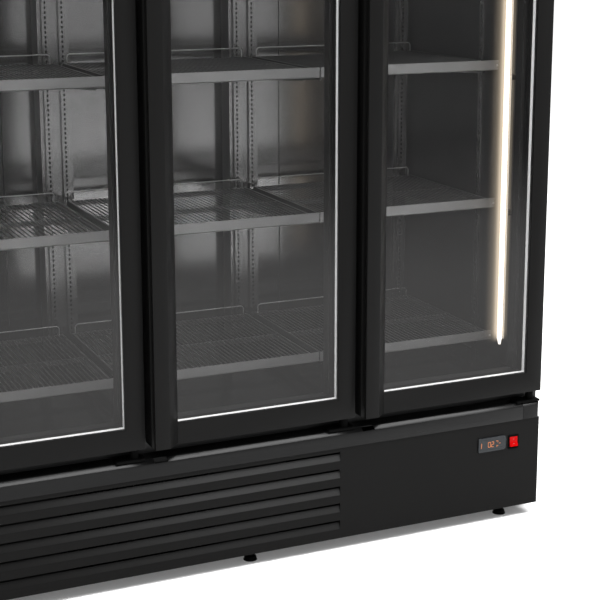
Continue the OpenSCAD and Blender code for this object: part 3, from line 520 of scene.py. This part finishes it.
def light_diffuser(name, colour):
    """Milky diffuser, brightest along its middle and warmer towards its sides, with a dim clear tip."""
    f = Finish(name)
    x, _, z = f.xyz()
    side = abs(abs(x) - LIGHT_X) / LIGHT_R
    chips = f.add("TexWave", {"bands_direction": "Z"},
                  {"Vector": f.place(), "Scale": 20.0, "Distortion": 0.0})["Fac"]
    warm = tuple(c * w for c, w in zip(colour, (0.30, 0.27, 0.23)))
    tip = z < TIP_END
    glow = f.blend(f.blend(colour, warm, side * side), tuple(0.35 * c for c in colour), tip)
    return f.shade(
        Base_Color=f.blend((0.82, 0.80, 0.76), (0.9, 0.88, 0.84), chips),
        Roughness=0.3 + chips * 0.05,
        Emission_Color=glow,
        Emission_Strength=3.4)


def painted_halo(x, z):
    """Share of the painted glow left at a point beside the bar; it fades outwards and at the bar's lower end.
    """
    far = (abs(abs(x) - LIGHT_X) - LIGHT_R).math("MAXIMUM", 0.0)
    glow = (far * -190.0).math("EXPONENT") * 0.42 + (far * -42.0).math("EXPONENT") * 0.06
    reach = 1.0 - x.finish.step(far, 0.018, 0.037)
    return glow * reach * x.finish.step(z, LIGHT_END, LIGHT_END + GLOW_FADE)


def backing_with_painted_glow(name, colour, edge):
    """Pale backing of a light bar with a painted glow where the bar would light it; its clips beyond edge get
    no painted glow.
    """
    f = Finish(name)
    x, _, z = f.xyz()
    clip = abs(x) > edge
    lines = f.noise(500.0, 2.0, (1, 1, 0.02))
    fade = painted_halo(x, z) * (0.9 + lines * 0.1)
    pale = f.blend((0.5, 0.47, 0.42), (0.6, 0.56, 0.5), lines)
    return f.shade(
        Base_Color=f.blend(pale, (0.06, 0.05, 0.04), clip),
        Roughness=0.4 + lines * 0.1,
        Emission_Color=f.blend((0.0, 0.0, 0.0), colour, fade * (1.0 - clip)),
        Emission_Strength=1.0)


def painted_glow_wing(name, colour):
    """Clear wings beside a light bar with a painted glow next to it that fades outwards, standing for the
    bar's light around it.
    """
    f = Finish(name)
    x, _, z = f.xyz()
    grain = f.noise(300.0, 2.0)
    fade = painted_halo(x, z) * (0.95 + grain * 0.1)
    clear = f.add("BsdfTransparent")
    glow = f.add("Emission", {}, {"Color": (*colour, 1.0), "Strength": 1.0})
    f.add("OutputMaterial", {}, {"Surface": f.add("MixShader", {}, {0: fade, 1: clear, 2: glow})})
    return f.material


def lit_figures(name, colour):
    """Amber light seen through a smoked window, a little uneven."""
    f = Finish(name)
    patch = f.noise(300.0, 2.0)
    dark, light = shades(colour, 0.8, 1.0)
    return f.shade(
        Base_Color=f.blend((0.02, 0.008, 0.002), (0.04, 0.012, 0.004), patch),
        Roughness=0.4 + patch * 0.1,
        Emission_Color=f.blend(dark, light, patch),
        Emission_Strength=0.75)


def gloss_plastic(name, colour, gloss=0.16, shine=0.15):
    """Polished moulding with faint rubbing marks."""
    f = Finish(name)
    rubs = f.noise(90.0, 4.0)
    dark, light = shades(colour, 0.92, 1.05)
    return f.shade(
        Base_Color=f.blend(dark, light, rubs),
        Roughness=gloss + rubs * 0.1,
        Specular_IOR_Level=shine,
        Normal=f.bump(rubs, 0.00003, 0.3))


def rubber(name, colour):
    """Dull ribbed seal."""
    f = Finish(name)
    dust_and_painted_light = f.noise(500.0, 3.0)
    dark, light = shades(colour, 0.7, 1.3)
    return f.shade(
        Base_Color=f.blend(dark, light, dust_and_painted_light),
        Roughness=0.7 + dust_and_painted_light * 0.15,
        Specular_IOR_Level=0.25,
        Normal=f.bump(dust_and_painted_light, 0.00008, 0.5))


def spacer_bar(name, colour, middle, half):
    """Pale hollow bar between the panes with a dark sealing line along each edge."""
    f = Finish(name)
    _, y, _ = f.xyz()
    lines = f.noise(900.0, 2.0, (1, 1, 0.01))
    seal = abs(y - middle) > half
    dark, light = shades(colour, 0.88, 1.1)
    return f.shade(
        Base_Color=f.blend(f.blend(dark, light, lines), (0.01, 0.01, 0.01), seal),
        Roughness=0.26 + lines * 0.12 + seal * 0.3,
        Metallic=0.2 - seal * 0.2,
        Specular_IOR_Level=0.5,
        Normal=f.bump(lines, 0.00003, 0.35))


def printed_mark(name, colour):
    """Printed mark, slightly worn."""
    f = Finish(name)
    wear = f.noise(1500.0, 3.0)
    dark, light = shades(colour, 0.8, 1.0)
    return f.shade(Base_Color=f.blend(dark, light, wear), Roughness=0.45 + wear * 0.15)


def make_finishes():
    """One material for each slot of the record, and for the fittings."""
    c = colours()
    bar_low, bar_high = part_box("door_right_spacer")
    tall = (1, 1, 0.01)
    wide = (0.01, 1, 1)
    return {
        "cabinet_skin": lined_skin("black skin and liner", tuple(c.skin), tuple(c.liner), (), 0.36),
        "liner": lined_skin("glossy grey liner", tuple(c.skin), tuple(c.liner), (-SEAM_X, SEAM_X), 0.13),
        "fixed_frame": moulded_plastic("black door surround", tuple(c.plastic), 0.42),
        "rail_metal": drawn_metal("dark satin rail", tuple(c.rail), wide, 0.0, 0.22, 0.11),
        "black_plastic": moulded_plastic("grained black plastic", tuple(c.plastic)),
        # The pale colour given to the plinth is its painted highlight on the louvre blades.
        "plinth_paint": louvred_coat(
            "textured black plinth", tuple(c.coat), (0.028, 0.028, 0.028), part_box("plinth_panel")[0].y),
        "plain_sheet": smooth_coat("coated sheet", tuple(c.sheet), 0.42, 0.4),
        "window": gloss_plastic("smoked window", tuple(c.window), 0.12),
        "red_rocker": gloss_plastic("glossy red rocker", tuple(c.rocker), 0.2, 0.05),
        "hinge_steel": smooth_coat("black hinge plate", tuple(c.coat), 0.6, 0.05),
        "post_paint": post_coat("grey post coat", tuple(c.post), STRIPS),
        "shelf_wire": drawn_wire("dark shelf wire", tuple(c.wire), 0.0, 0.26),
        "bright_wire": drawn_wire("plated wire", (0.26, 0.26, 0.26), 0.6, 0.34),
        "price_plastic": price_profile("grey price strip", tuple(c.price)),
        "light_metal": backing_with_painted_glow("light bar backing", tuple(c.lamp), CLIP_EDGE),
        "diffuser": light_diffuser("warm light diffuser", tuple(c.core)),
        "evaporator_paint": smooth_coat("pale evaporator coat", tuple(c.case), 0.4, 0.4),
        "fin_metal": drawn_metal("bare fins", tuple(c.fin), tall, 0.8, 0.4),
        "fan_plastic": moulded_plastic("fan moulding", tuple(c.plastic)),
        "compressor_paint": smooth_coat("compressor shell black", tuple(c.skin), 0.3),
        "door_frame": powder_coat("textured black door", tuple(c.coat)),
        "door_handle": powder_coat("textured black pull", tuple(c.coat)),
        "glass": clear_glass("clear door pane"),
        "spacer": spacer_bar("pale spacer bar", tuple(c.spacer), (bar_low.y + bar_high.y) / 2,
                             (bar_high.y - bar_low.y) / 2 - SEAL_WIDTH),
        "gasket": rubber("dark door seal", (0.03, 0.03, 0.031)),
        "steel": drawn_metal("plated steel", tuple(c.steel), wide, 0.9, 0.3),
        # Near-black painted shade for parts that sit in dark gaps and the machine space.
        "deep_black": smooth_coat("near black painted shade", (0.002, 0.002, 0.002), 0.6, 0.02),
        "wing": painted_glow_wing("clear wing with painted glow", tuple(c.lamp)),
        "figures": lit_figures("amber figures", tuple(c.amber)),
        "marks": printed_mark("pale switch marks", tuple(c.mark)),
    }


FINISHES = {}


def finish(name):
    """The material of that name; all are made at the first call."""
    if not FINISHES:
        FINISHES.update(make_finishes())
    return FINISHES[name]


def dress(piece, material):
    """Gives a piece one material."""
    piece.data.materials.clear()
    piece.data.materials.append(material)


def pick(piece):
    """Leaves only this piece selected and active."""
    bpy.ops.object.select_all(action="DESELECT")
    piece.select_set(True)
    bpy.context.view_layer.objects.active = piece


def settle(piece):
    """Puts a piece's place, turn and scale into its mesh."""
    pick(piece)
    bpy.ops.object.transform_apply(location=True, rotation=True, scale=True)


def apply_modifiers(piece):
    """Applies all modifiers of a piece in their order."""
    pick(piece)
    for modifier in list(piece.modifiers):
        bpy.ops.object.modifier_apply(modifier=modifier.name)


def join(pieces, name):
    """Joins pieces into one of that name."""
    bpy.ops.object.select_all(action="DESELECT")
    for piece in pieces:
        piece.select_set(True)
    bpy.context.view_layer.objects.active = pieces[0]
    if len(pieces) > 1:
        bpy.ops.object.join()
    joined = bpy.context.view_layer.objects.active
    joined.name = name
    joined.data.name = name
    settle(joined)
    return joined


def fit(piece, body, material):
    """Hands a finished piece to its body, with its finish."""
    dress(piece, material)
    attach(piece, body)
    return piece


def copy_at(piece, place):
    """A copy of a piece with its own mesh, moved by place."""
    twin = piece.copy()
    twin.data = piece.data.copy()
    twin.location = Vector(piece.location) + Vector(place)
    bpy.context.scene.collection.objects.link(twin)
    return twin


def soft_bar(name, centre, size, radius):
    """A small bar with rounded edges."""
    bpy.ops.object.select_all(action="DESELECT")
    bpy.ops.mesh.primitive_cube_add(size=1.0, location=centre)
    bar = bpy.context.object
    bar.name = name
    bar.scale = size
    bpy.ops.object.transform_apply(location=False, rotation=False, scale=True)
    rounding = bar.modifiers.new("rounding", "BEVEL")
    rounding.width = min(radius, min(size) * 0.45)
    rounding.segments = 2
    apply_modifiers(bar)
    return bar


def wire_ring(radius, wire, steps):
    """A ring of round wire about the y axis, spun from its section at the origin."""
    bpy.ops.object.select_all(action="DESELECT")
    bpy.ops.mesh.primitive_circle_add(vertices=8, radius=wire, location=(radius, 0, 0))
    ring = bpy.context.object
    bpy.ops.object.mode_set(mode="EDIT")
    bpy.ops.mesh.select_all(action="SELECT")
    bpy.ops.mesh.spin(steps=steps, angle=math.tau, center=(0, 0, 0), axis=(0, 1, 0))
    bpy.ops.mesh.select_all(action="SELECT")
    bpy.ops.mesh.remove_doubles(threshold=wire * 0.01)
    bpy.ops.mesh.normals_make_consistent(inside=False)
    bpy.ops.object.mode_set(mode="OBJECT")
    settle(ring)
    return ring


def select_faces(piece, test):
    """Selects the faces whose middle and normal pass the test; the piece is in edit mode after it."""
    pick(piece)
    bpy.ops.object.mode_set(mode="EDIT")
    bpy.ops.mesh.select_mode(type="FACE")
    bpy.ops.mesh.select_all(action="DESELECT")
    bpy.ops.object.mode_set(mode="OBJECT")
    for face in piece.data.polygons:
        face.select = test(face.center, face.normal)
    bpy.ops.object.mode_set(mode="EDIT")


def soften_node(node, radius):
    """A copy of a CAD node with its sharp edges rounded, which stands for the node."""
    source = NODES[node]
    piece = bpy.data.objects.new(node + "_rounded", source.data.copy())
    bpy.context.scene.collection.objects.link(piece)
    pick(piece)
    bpy.ops.mesh.customdata_custom_splitnormals_clear()
    bpy.ops.object.mode_set(mode="EDIT")
    bpy.ops.mesh.select_all(action="SELECT")
    bpy.ops.mesh.remove_doubles(threshold=0.00001)
    bpy.ops.mesh.dissolve_limited(angle_limit=math.radians(0.5))
    bpy.ops.object.mode_set(mode="OBJECT")
    rounding = piece.modifiers.new("rounding", "BEVEL")
    rounding.width = radius
    rounding.segments = 2
    rounding.limit_method = "ANGLE"
    rounding.angle_limit = math.radians(25)
    rounding.use_clamp_overlap = True
    apply_modifiers(piece)
    pick(piece)
    bpy.ops.object.shade_smooth_by_angle(angle=math.radians(40))
    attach(piece, source["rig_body"])
    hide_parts(node)
    return piece


class MERCH_OT_finish_solids(bpy.types.Operator):
    """Give every solid of the cabinet its finish"""

    bl_idname = "merch.finish_solids"
    bl_label = "Finish the solids"

    def execute(self, context):
        for part in frame["record"]["subparts"]:
            node = part["node"]
            name = OWN_FINISH.get(node, part["material_slot"])
            dress(NODES[node], finish(name))
        return {"FINISHED"}


class MERCH_OT_round_doors(bpy.types.Operator):
    """Round the edges of the door frames and pulls"""

    bl_idname = "merch.round_doors"
    bl_label = "Round the doors"

    def execute(self, context):
        for door in DOORS:
            for part in ("frame", "handle"):
                piece = soften_node("door_%s_%s" % (door, part), sizes().edge)
                fit(piece, "door_" + door, finish("door_" + part))
        return {"FINISHED"}


class MERCH_OT_round_rails(bpy.types.Operator):
    """Round the edges of the hinge rails and their end caps"""

    bl_idname = "merch.round_rails"
    bl_label = "Round the rails"

    def execute(self, context):
        for node, slot in (("lower_hinge_rail", "rail_metal"), ("upper_hinge_rail", "rail_metal"),
                           ("rail_end_caps", "black_plastic")):
            piece = soften_node(node, sizes().fine_edge)
            fit(piece, "cabinet", finish("rail_metal"))
        return {"FINISHED"}


class MERCH_OT_display(bpy.types.Operator):
    """Build the lit figures and signs of the controller"""

    bl_idname = "merch.display"
    bl_label = "Controller display"

    STROKES = {"0": "abcdef", "2": "abged"}
    FIRST_FIGURE = -8.5 * MM
    FIGURE_GAP = 2.6 * MM
    # Place from the window's middle and size of each small sign, across and up, in millimetres.
    SIGNS = (((-30.5, -0.5), (1.6, 13.0)), ((13.0, 7.0), (6.0, 1.3)), ((15.5, 5.0), (1.3, 4.0)),
             ((20.5, 0.5), (4.5, 1.3)), ((12.5, -6.0), (1.4, 4.5)), ((14.5, -4.8), (4.0, 1.3)))

    def strokes(self, figure, centre):
        """The bars of one figure, named by the usual letters of a seven-bar display."""
        s = sizes()
        w, h, t = s.figure_w / 2, s.figure_h / 2, s.stroke
        flat, tall = (2 * w - t * 0.4, s.relief, t), (t, s.relief, h - t * 0.4)
        layout = {"a": (0, h, flat), "g": (0, 0, flat), "d": (0, -h, flat), "b": (w, h / 2, tall),
                  "c": (w, -h / 2, tall), "e": (-w, -h / 2, tall), "f": (-w, h / 2, tall)}
        bars = []
        for letter in self.STROKES[figure]:
            x, z, size = layout[letter]
            bars.append(soft_bar("stroke", centre + Vector((x, 0, z)), size, s.stroke * 0.3))
        return bars

    def execute(self, context):
        low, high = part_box("controller_lens")
        s = sizes()
        middle = Vector(((low.x + high.x) / 2, low.y - s.relief * 0.4, (low.z + high.z) / 2))
        step = s.figure_w + self.FIGURE_GAP
        bars = []
        for figure, shift in (("0", self.FIRST_FIGURE), ("2", self.FIRST_FIGURE + step)):
            bars += self.strokes(figure, middle + Vector((shift, 0, 0)))
        for (x, z), (w, h) in self.SIGNS:
            place = middle + Vector((x * MM, 0, z * MM))
            bars.append(soft_bar("sign", place, (w * MM, s.relief, h * MM), s.stroke * 0.3))
        fit(join(bars, "controller_figures"), "cabinet", finish("figures"))
        return {"FINISHED"}


class MERCH_OT_rocker_marks(bpy.types.Operator):
    """Build the printed on and off marks of the rocker"""

    bl_idname = "merch.rocker_marks"
    bl_label = "Rocker marks"

    # Depth behind the rocker's foremost point and height from its pivot.
    BAR_PLACE = (3.05 * MM, 6.6 * MM)
    RING_PLACE = (2.35 * MM, -5.5 * MM)
    BAR_SIZE = (1.1 * MM, 4.2 * MM)
    RING_R = 2.2 * MM
    RING_WIRE = 0.5 * MM
    LOWER_FACE_TILT = math.radians(17.46)

    def execute(self, context):
        relief = sizes().relief
        joints = frame["record"]["behaviour"]["joints"]
        x, _, pivot = next(joint["pos_m"] for joint in joints if joint["name"] == "rocker_pivot")
        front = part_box("switch_rocker")[0].y
        width, height = self.BAR_SIZE
        depth, rise = self.BAR_PLACE
        bar = soft_bar("mark", (x, front + depth, pivot + rise), (width, relief, height), relief * 0.3)
        ring = wire_ring(self.RING_R, self.RING_WIRE, 24)
        depth, rise = self.RING_PLACE
        ring.location = (x, front + depth, pivot + rise)
        ring.rotation_euler = (self.LOWER_FACE_TILT, 0, 0)
        settle(ring)
        marks = join([bar, ring], "rocker_marks")
        fit(marks, "rocker", finish("marks"))
        return {"FINISHED"}


class MERCH_OT_strip_pins(bpy.types.Operator):
    """Build the small pins that hold the ends of the price strips"""

    bl_idname = "merch.strip_pins"
    bl_label = "Strip pins"

    ROWS = 4
    STRIP_HEIGHT = 25 * MM
    END_INSET = 4.5 * MM
    STAND_OFF = 0.2 * MM

    def execute(self, context):
        s = sizes()
        low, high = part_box("price_strips")
        bpy.ops.object.select_all(action="DESELECT")
        bpy.ops.mesh.primitive_cylinder_add(
            vertices=16, radius=s.pin_r, depth=1.2 * s.pin_r, rotation=(math.radians(90), 0, 0))
        pin = bpy.context.object
        settle(pin)
        select_faces(pin, lambda centre, normal: normal.y < -0.9)
        bpy.ops.mesh.inset(thickness=0.35 * s.pin_r, depth=0.3 * s.pin_r)
        bpy.ops.mesh.inset(thickness=0.35 * s.pin_r, depth=0.1 * s.pin_r)
        bpy.ops.object.mode_set(mode="OBJECT")
        pitch = (high.z - low.z - self.STRIP_HEIGHT) / (self.ROWS - 1)
        middles = [low.z + self.STRIP_HEIGHT / 2 + row * pitch for row in range(self.ROWS)]
        end = high.x - self.END_INSET
        places = [(side * end, low.y - self.STAND_OFF, z) for z in middles for side in (-1, 1)]
        pins = [copy_at(pin, place) for place in places]
        bpy.data.objects.remove(pin)
        piece = join(pins, "price_strip_pins")
        pick(piece)
        bpy.ops.object.shade_smooth()
        fit(piece, "cabinet", finish("steel"))
        return {"FINISHED"}


class MERCH_OT_light_wings(bpy.types.Operator):
    """Build the clear wings beside the light bars that carry their painted glow"""

    bl_idname = "merch.light_wings"
    bl_label = "Light wings"

    BEHIND = 1.5 * MM
    THICKNESS = 1.2 * MM

    def execute(self, context):
        low, high = LIGHT_LOW, LIGHT_HIGH
        inner, outer = sizes().wing, sizes().wing_outer
        for name, side in (("painted_glow_wing_left", -1), ("painted_glow_wing_right", 1)):
            middle = side * (LIGHT_X + (outer - inner) / 2)
            bpy.ops.object.select_all(action="DESELECT")
            bpy.ops.mesh.primitive_plane_add(
                size=1.0, location=(middle, high.y + self.BEHIND, (low.z + high.z) / 2),
                rotation=(math.radians(90), 0, 0))
            wing = bpy.context.object
            wing.scale = (inner + outer, high.z - low.z, 1.0)
            settle(wing)
            bpy.ops.object.mode_set(mode="EDIT")
            bpy.ops.mesh.select_all(action="SELECT")
            bpy.ops.mesh.subdivide(number_cuts=7)
            bpy.ops.object.mode_set(mode="OBJECT")
            sheet = wing.modifiers.new("thickness", "SOLIDIFY")
            sheet.thickness = self.THICKNESS
            apply_modifiers(wing)
            fit(join([wing], name), "cabinet", finish("wing"))
        return {"FINISHED"}


class MERCH_OT_fan_guards(bpy.types.Operator):
    """Build the wire guards in front of the evaporator fans"""

    bl_idname = "merch.fan_guards"
    bl_label = "Fan guards"

    RING_SHARES = (0.25, 0.44, 0.63, 0.82, 1.0)
    SPOKE_TURNS = (0, 60, 120)
    OVERLAP = 8 * MM

    def spoke(self, reach):
        """An upright wire whose ends are bent back to the housing."""
        wire = sizes().guard_wire
        bpy.ops.object.select_all(action="DESELECT")
        bpy.ops.mesh.primitive_cylinder_add(vertices=8, radius=wire, depth=2 * reach)
        spoke = bpy.context.object
        for end in (-1, 1):
            select_faces(spoke, lambda centre, normal: normal.z * end > 0.9)
            for move in ((0, 1.3 * wire, end * 1.3 * wire), (0, 1.6 * wire, 0)):
                bpy.ops.mesh.extrude_region_move(TRANSFORM_OT_translate={"value": move})
            bpy.ops.object.mode_set(mode="OBJECT")
        return spoke

    def execute(self, context):
        s = sizes()
        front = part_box("evaporator_case")[0].y - s.guard_wire
        low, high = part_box("evaporator_fan_left")
        reach = (high.x - low.x) / 2 + self.OVERLAP
        wires = [wire_ring(reach * share, s.guard_wire, 48) for share in self.RING_SHARES]
        for turn in self.SPOKE_TURNS:
            spoke = self.spoke(reach)
            spoke.location = (0, -1.6 * s.guard_wire, 0)
            spoke.rotation_euler = (0, math.radians(turn), 0)
            wires.append(spoke)
        guard = join(wires, "fan_guard")
        pick(guard)
        bpy.ops.object.shade_smooth_by_angle(angle=math.radians(50))
        for side in ("left", "right"):
            low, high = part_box("evaporator_fan_" + side)
            piece = copy_at(guard, ((low.x + high.x) / 2, front, (low.z + high.z) / 2))
            fit(join([piece], "fan_guard_" + side), "cabinet", finish("bright_wire"))
        bpy.data.objects.remove(guard)
        return {"FINISHED"}


class MERCH_OT_panel_screws(bpy.types.Operator):
    """Build the screws of the rear sheet"""

    bl_idname = "merch.panel_screws"
    bl_label = "Panel screws"

    COLUMNS = 6
    EDGE_INSET = 14 * MM

    def screw(self):
        """A pan head with a socket in its outer face."""
        r = sizes().screw_r
        bpy.ops.object.select_all(action="DESELECT")
        bpy.ops.mesh.primitive_cylinder_add(
            vertices=24, radius=r, depth=0.5 * r, rotation=(math.radians(90), 0, 0))
        head = bpy.context.object
        settle(head)
        select_faces(head, lambda centre, normal: normal.y > 0.9)
        bpy.ops.mesh.inset(thickness=0.28 * r, depth=0.18 * r)
        bpy.ops.mesh.inset(thickness=0.24 * r, depth=0.05 * r)
        bpy.ops.mesh.inset(thickness=0.06 * r, depth=-0.3 * r)
        bpy.ops.object.mode_set(mode="OBJECT")
        bpy.ops.object.shade_smooth_by_angle(angle=math.radians(35))
        return head

    def execute(self, context):
        low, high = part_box("rear_grille")
        head = self.screw()
        inset = self.EDGE_INSET
        gap = (high.x - low.x - 2 * inset) / (self.COLUMNS - 1)
        across = [low.x + inset + k * gap for k in range(self.COLUMNS)]
        y = high.y + 0.2 * sizes().screw_r
        places = [(x, y, z) for x in across for z in (low.z + inset, high.z - inset)]
        screws = [copy_at(head, place) for place in places]
        bpy.data.objects.remove(head)
        fit(join(screws, "rear_sheet_screws"), "cabinet", finish("steel"))
        return {"FINISHED"}


class MERCH_OT_stage(bpy.types.Operator):
    """Set up the floor, the room light, the two soft boxes and the camera"""

    bl_idname = "merch.stage"
    bl_label = "Studio"

    FLOOR_SIZE = 90.0
    FLOOR_BACK = 20.0
    # Place, target, width and depth of each soft box.
    OVERHEAD = ((0.3, -0.4, 4.6), (0.3, -0.4, 0), 9.0, 7.0)
    FRONT = ((1.3, -1.8, 3.9), (1.0, -0.38, 0.29), 5.5, 1.0)

    def seen(self, f):
        """1 for rays from the camera, off mirrors and through glass; 0 for light that falls on things."""
        path = f.add("LightPath")
        total = path["Is Camera Ray"] + path["Is Glossy Ray"] + path["Is Transmission Ray"]
        return total.math("MINIMUM", 1.0)

    def floor(self):
        """A pale floor that keeps the shadow and whitens away from the cabinet."""
        bpy.ops.object.select_all(action="DESELECT")
        bpy.ops.mesh.primitive_plane_add(size=self.FLOOR_SIZE, location=(0, self.FLOOR_BACK, 0))
        plane = bpy.context.object
        plane.name = "studio_floor"
        f = Finish("pale studio floor")
        tone = f.noise(1.5, 2.0)
        paint = f.add("BsdfDiffuse", {}, {"Color": f.blend((0.88, 0.88, 0.88), (0.9, 0.9, 0.9), tone)})
        x, y, _ = f.xyz()
        high = CAD_BOX[1]
        out_x = (abs(x) - high[0]).math("MAXIMUM", 0.0)
        out_y = (abs(y + plane.location.y) - high[1]).math("MAXIMUM", 0.0)
        away = f.step(out_x + out_y, 0.0, 0.3, 0.0, 0.45)
        shine = f.blend((0.0, 0.0, 0.0), (1.0, 1.0, 1.0), self.seen(f) * (away + studio().floor_glow))
        glow = f.add("Emission", {}, {"Color": shine, "Strength": 1.0})
        f.add("OutputMaterial", {}, {"Surface": f.add("AddShader", {}, {0: paint, 1: glow})})
        dress(plane, f.material)

    def room(self):
        """Even light from all round, white to the eye."""
        world = bpy.data.worlds.new("studio room")
        bpy.context.scene.world = world
        world.use_nodes = True
        f = Finish("studio room", world.node_tree)
        ambient = studio().ambient
        strength = self.seen(f) * (1 - ambient) + ambient
        light = f.add("Background", {}, {"Color": (1, 1, 1, 1), "Strength": strength})
        f.add("OutputWorld", {}, {"Surface": light})

    def lamp(self, name, power, place, target, width, depth):
        """A soft box at a place, turned to a target."""
        light = bpy.data.lights.new(name, "AREA")
        light.shape = "RECTANGLE"
        light.size, light.size_y, light.energy = width, depth, power
        lamp = bpy.data.objects.new(name, light)
        lamp.location = place
        lamp.rotation_euler = (Vector(target) - Vector(place)).to_track_quat("-Z", "Y").to_euler()
        bpy.context.scene.collection.objects.link(lamp)

    def camera(self):
        """The photograph's camera."""
        s = studio()
        view = bpy.data.cameras.new("camera")
        view.lens, view.sensor_width, view.shift_y = s.lens, 36.0, s.shift
        view.clip_end = 200.0
        eye = bpy.data.objects.new("camera", view)
        eye.location = s.eye
        eye.rotation_euler = (math.radians(90) - s.tilt, 0, -s.turn)
        bpy.context.scene.collection.objects.link(eye)
        bpy.context.scene.camera = eye

    def execute(self, context):
        scene = context.scene
        scene.view_settings.view_transform = "Standard"
        scene.cycles.transparent_max_bounces = 32
        self.floor()
        self.room()
        self.lamp("overhead soft box", studio().overhead, *self.OVERHEAD)
        self.lamp("front soft box", studio().strip, *self.FRONT)
        self.camera()
        return {"FINISHED"}


OPERATORS = (
    MERCH_OT_finish_solids,
    MERCH_OT_round_doors,
    MERCH_OT_round_rails,
    MERCH_OT_display,
    MERCH_OT_rocker_marks,
    MERCH_OT_strip_pins,
    MERCH_OT_light_wings,
    MERCH_OT_fan_guards,
    MERCH_OT_panel_screws,
    MERCH_OT_stage,
)


class MERCH_PT_panel(bpy.types.Panel):
    """Lists the steps and the settings"""

    bl_idname = "MERCH_PT_panel"
    bl_label = "Glass Door Merchandiser"
    bl_space_type = "VIEW_3D"
    bl_region_type = "UI"
    bl_category = "Merchandiser"

    def draw(self, context):
        for step in OPERATORS:
            self.layout.operator(step.bl_idname)
        for group in (colours(), sizes(), studio()):
            box = self.layout.box()
            for name in group.__annotations__:
                box.prop(group, name)


CLASSES = (FinishColours, FittingSizes, StudioSettings, *OPERATORS, MERCH_PT_panel)


def register():
    for part in CLASSES:
        bpy.utils.register_class(part)
    bpy.types.Scene.merchandiser_colours = bpy.props.PointerProperty(type=FinishColours)
    bpy.types.Scene.merchandiser_sizes = bpy.props.PointerProperty(type=FittingSizes)
    bpy.types.Scene.merchandiser_studio = bpy.props.PointerProperty(type=StudioSettings)


def unregister():
    del bpy.types.Scene.merchandiser_colours
    del bpy.types.Scene.merchandiser_sizes
    del bpy.types.Scene.merchandiser_studio
    for part in reversed(CLASSES):
        bpy.utils.unregister_class(part)


def main():
    """Registers the add-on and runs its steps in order."""
    register()
    for step in OPERATORS:
        group, name = step.bl_idname.split(".")
        getattr(getattr(bpy.ops, group), name)()


if __name__ == "__main__":
    main()
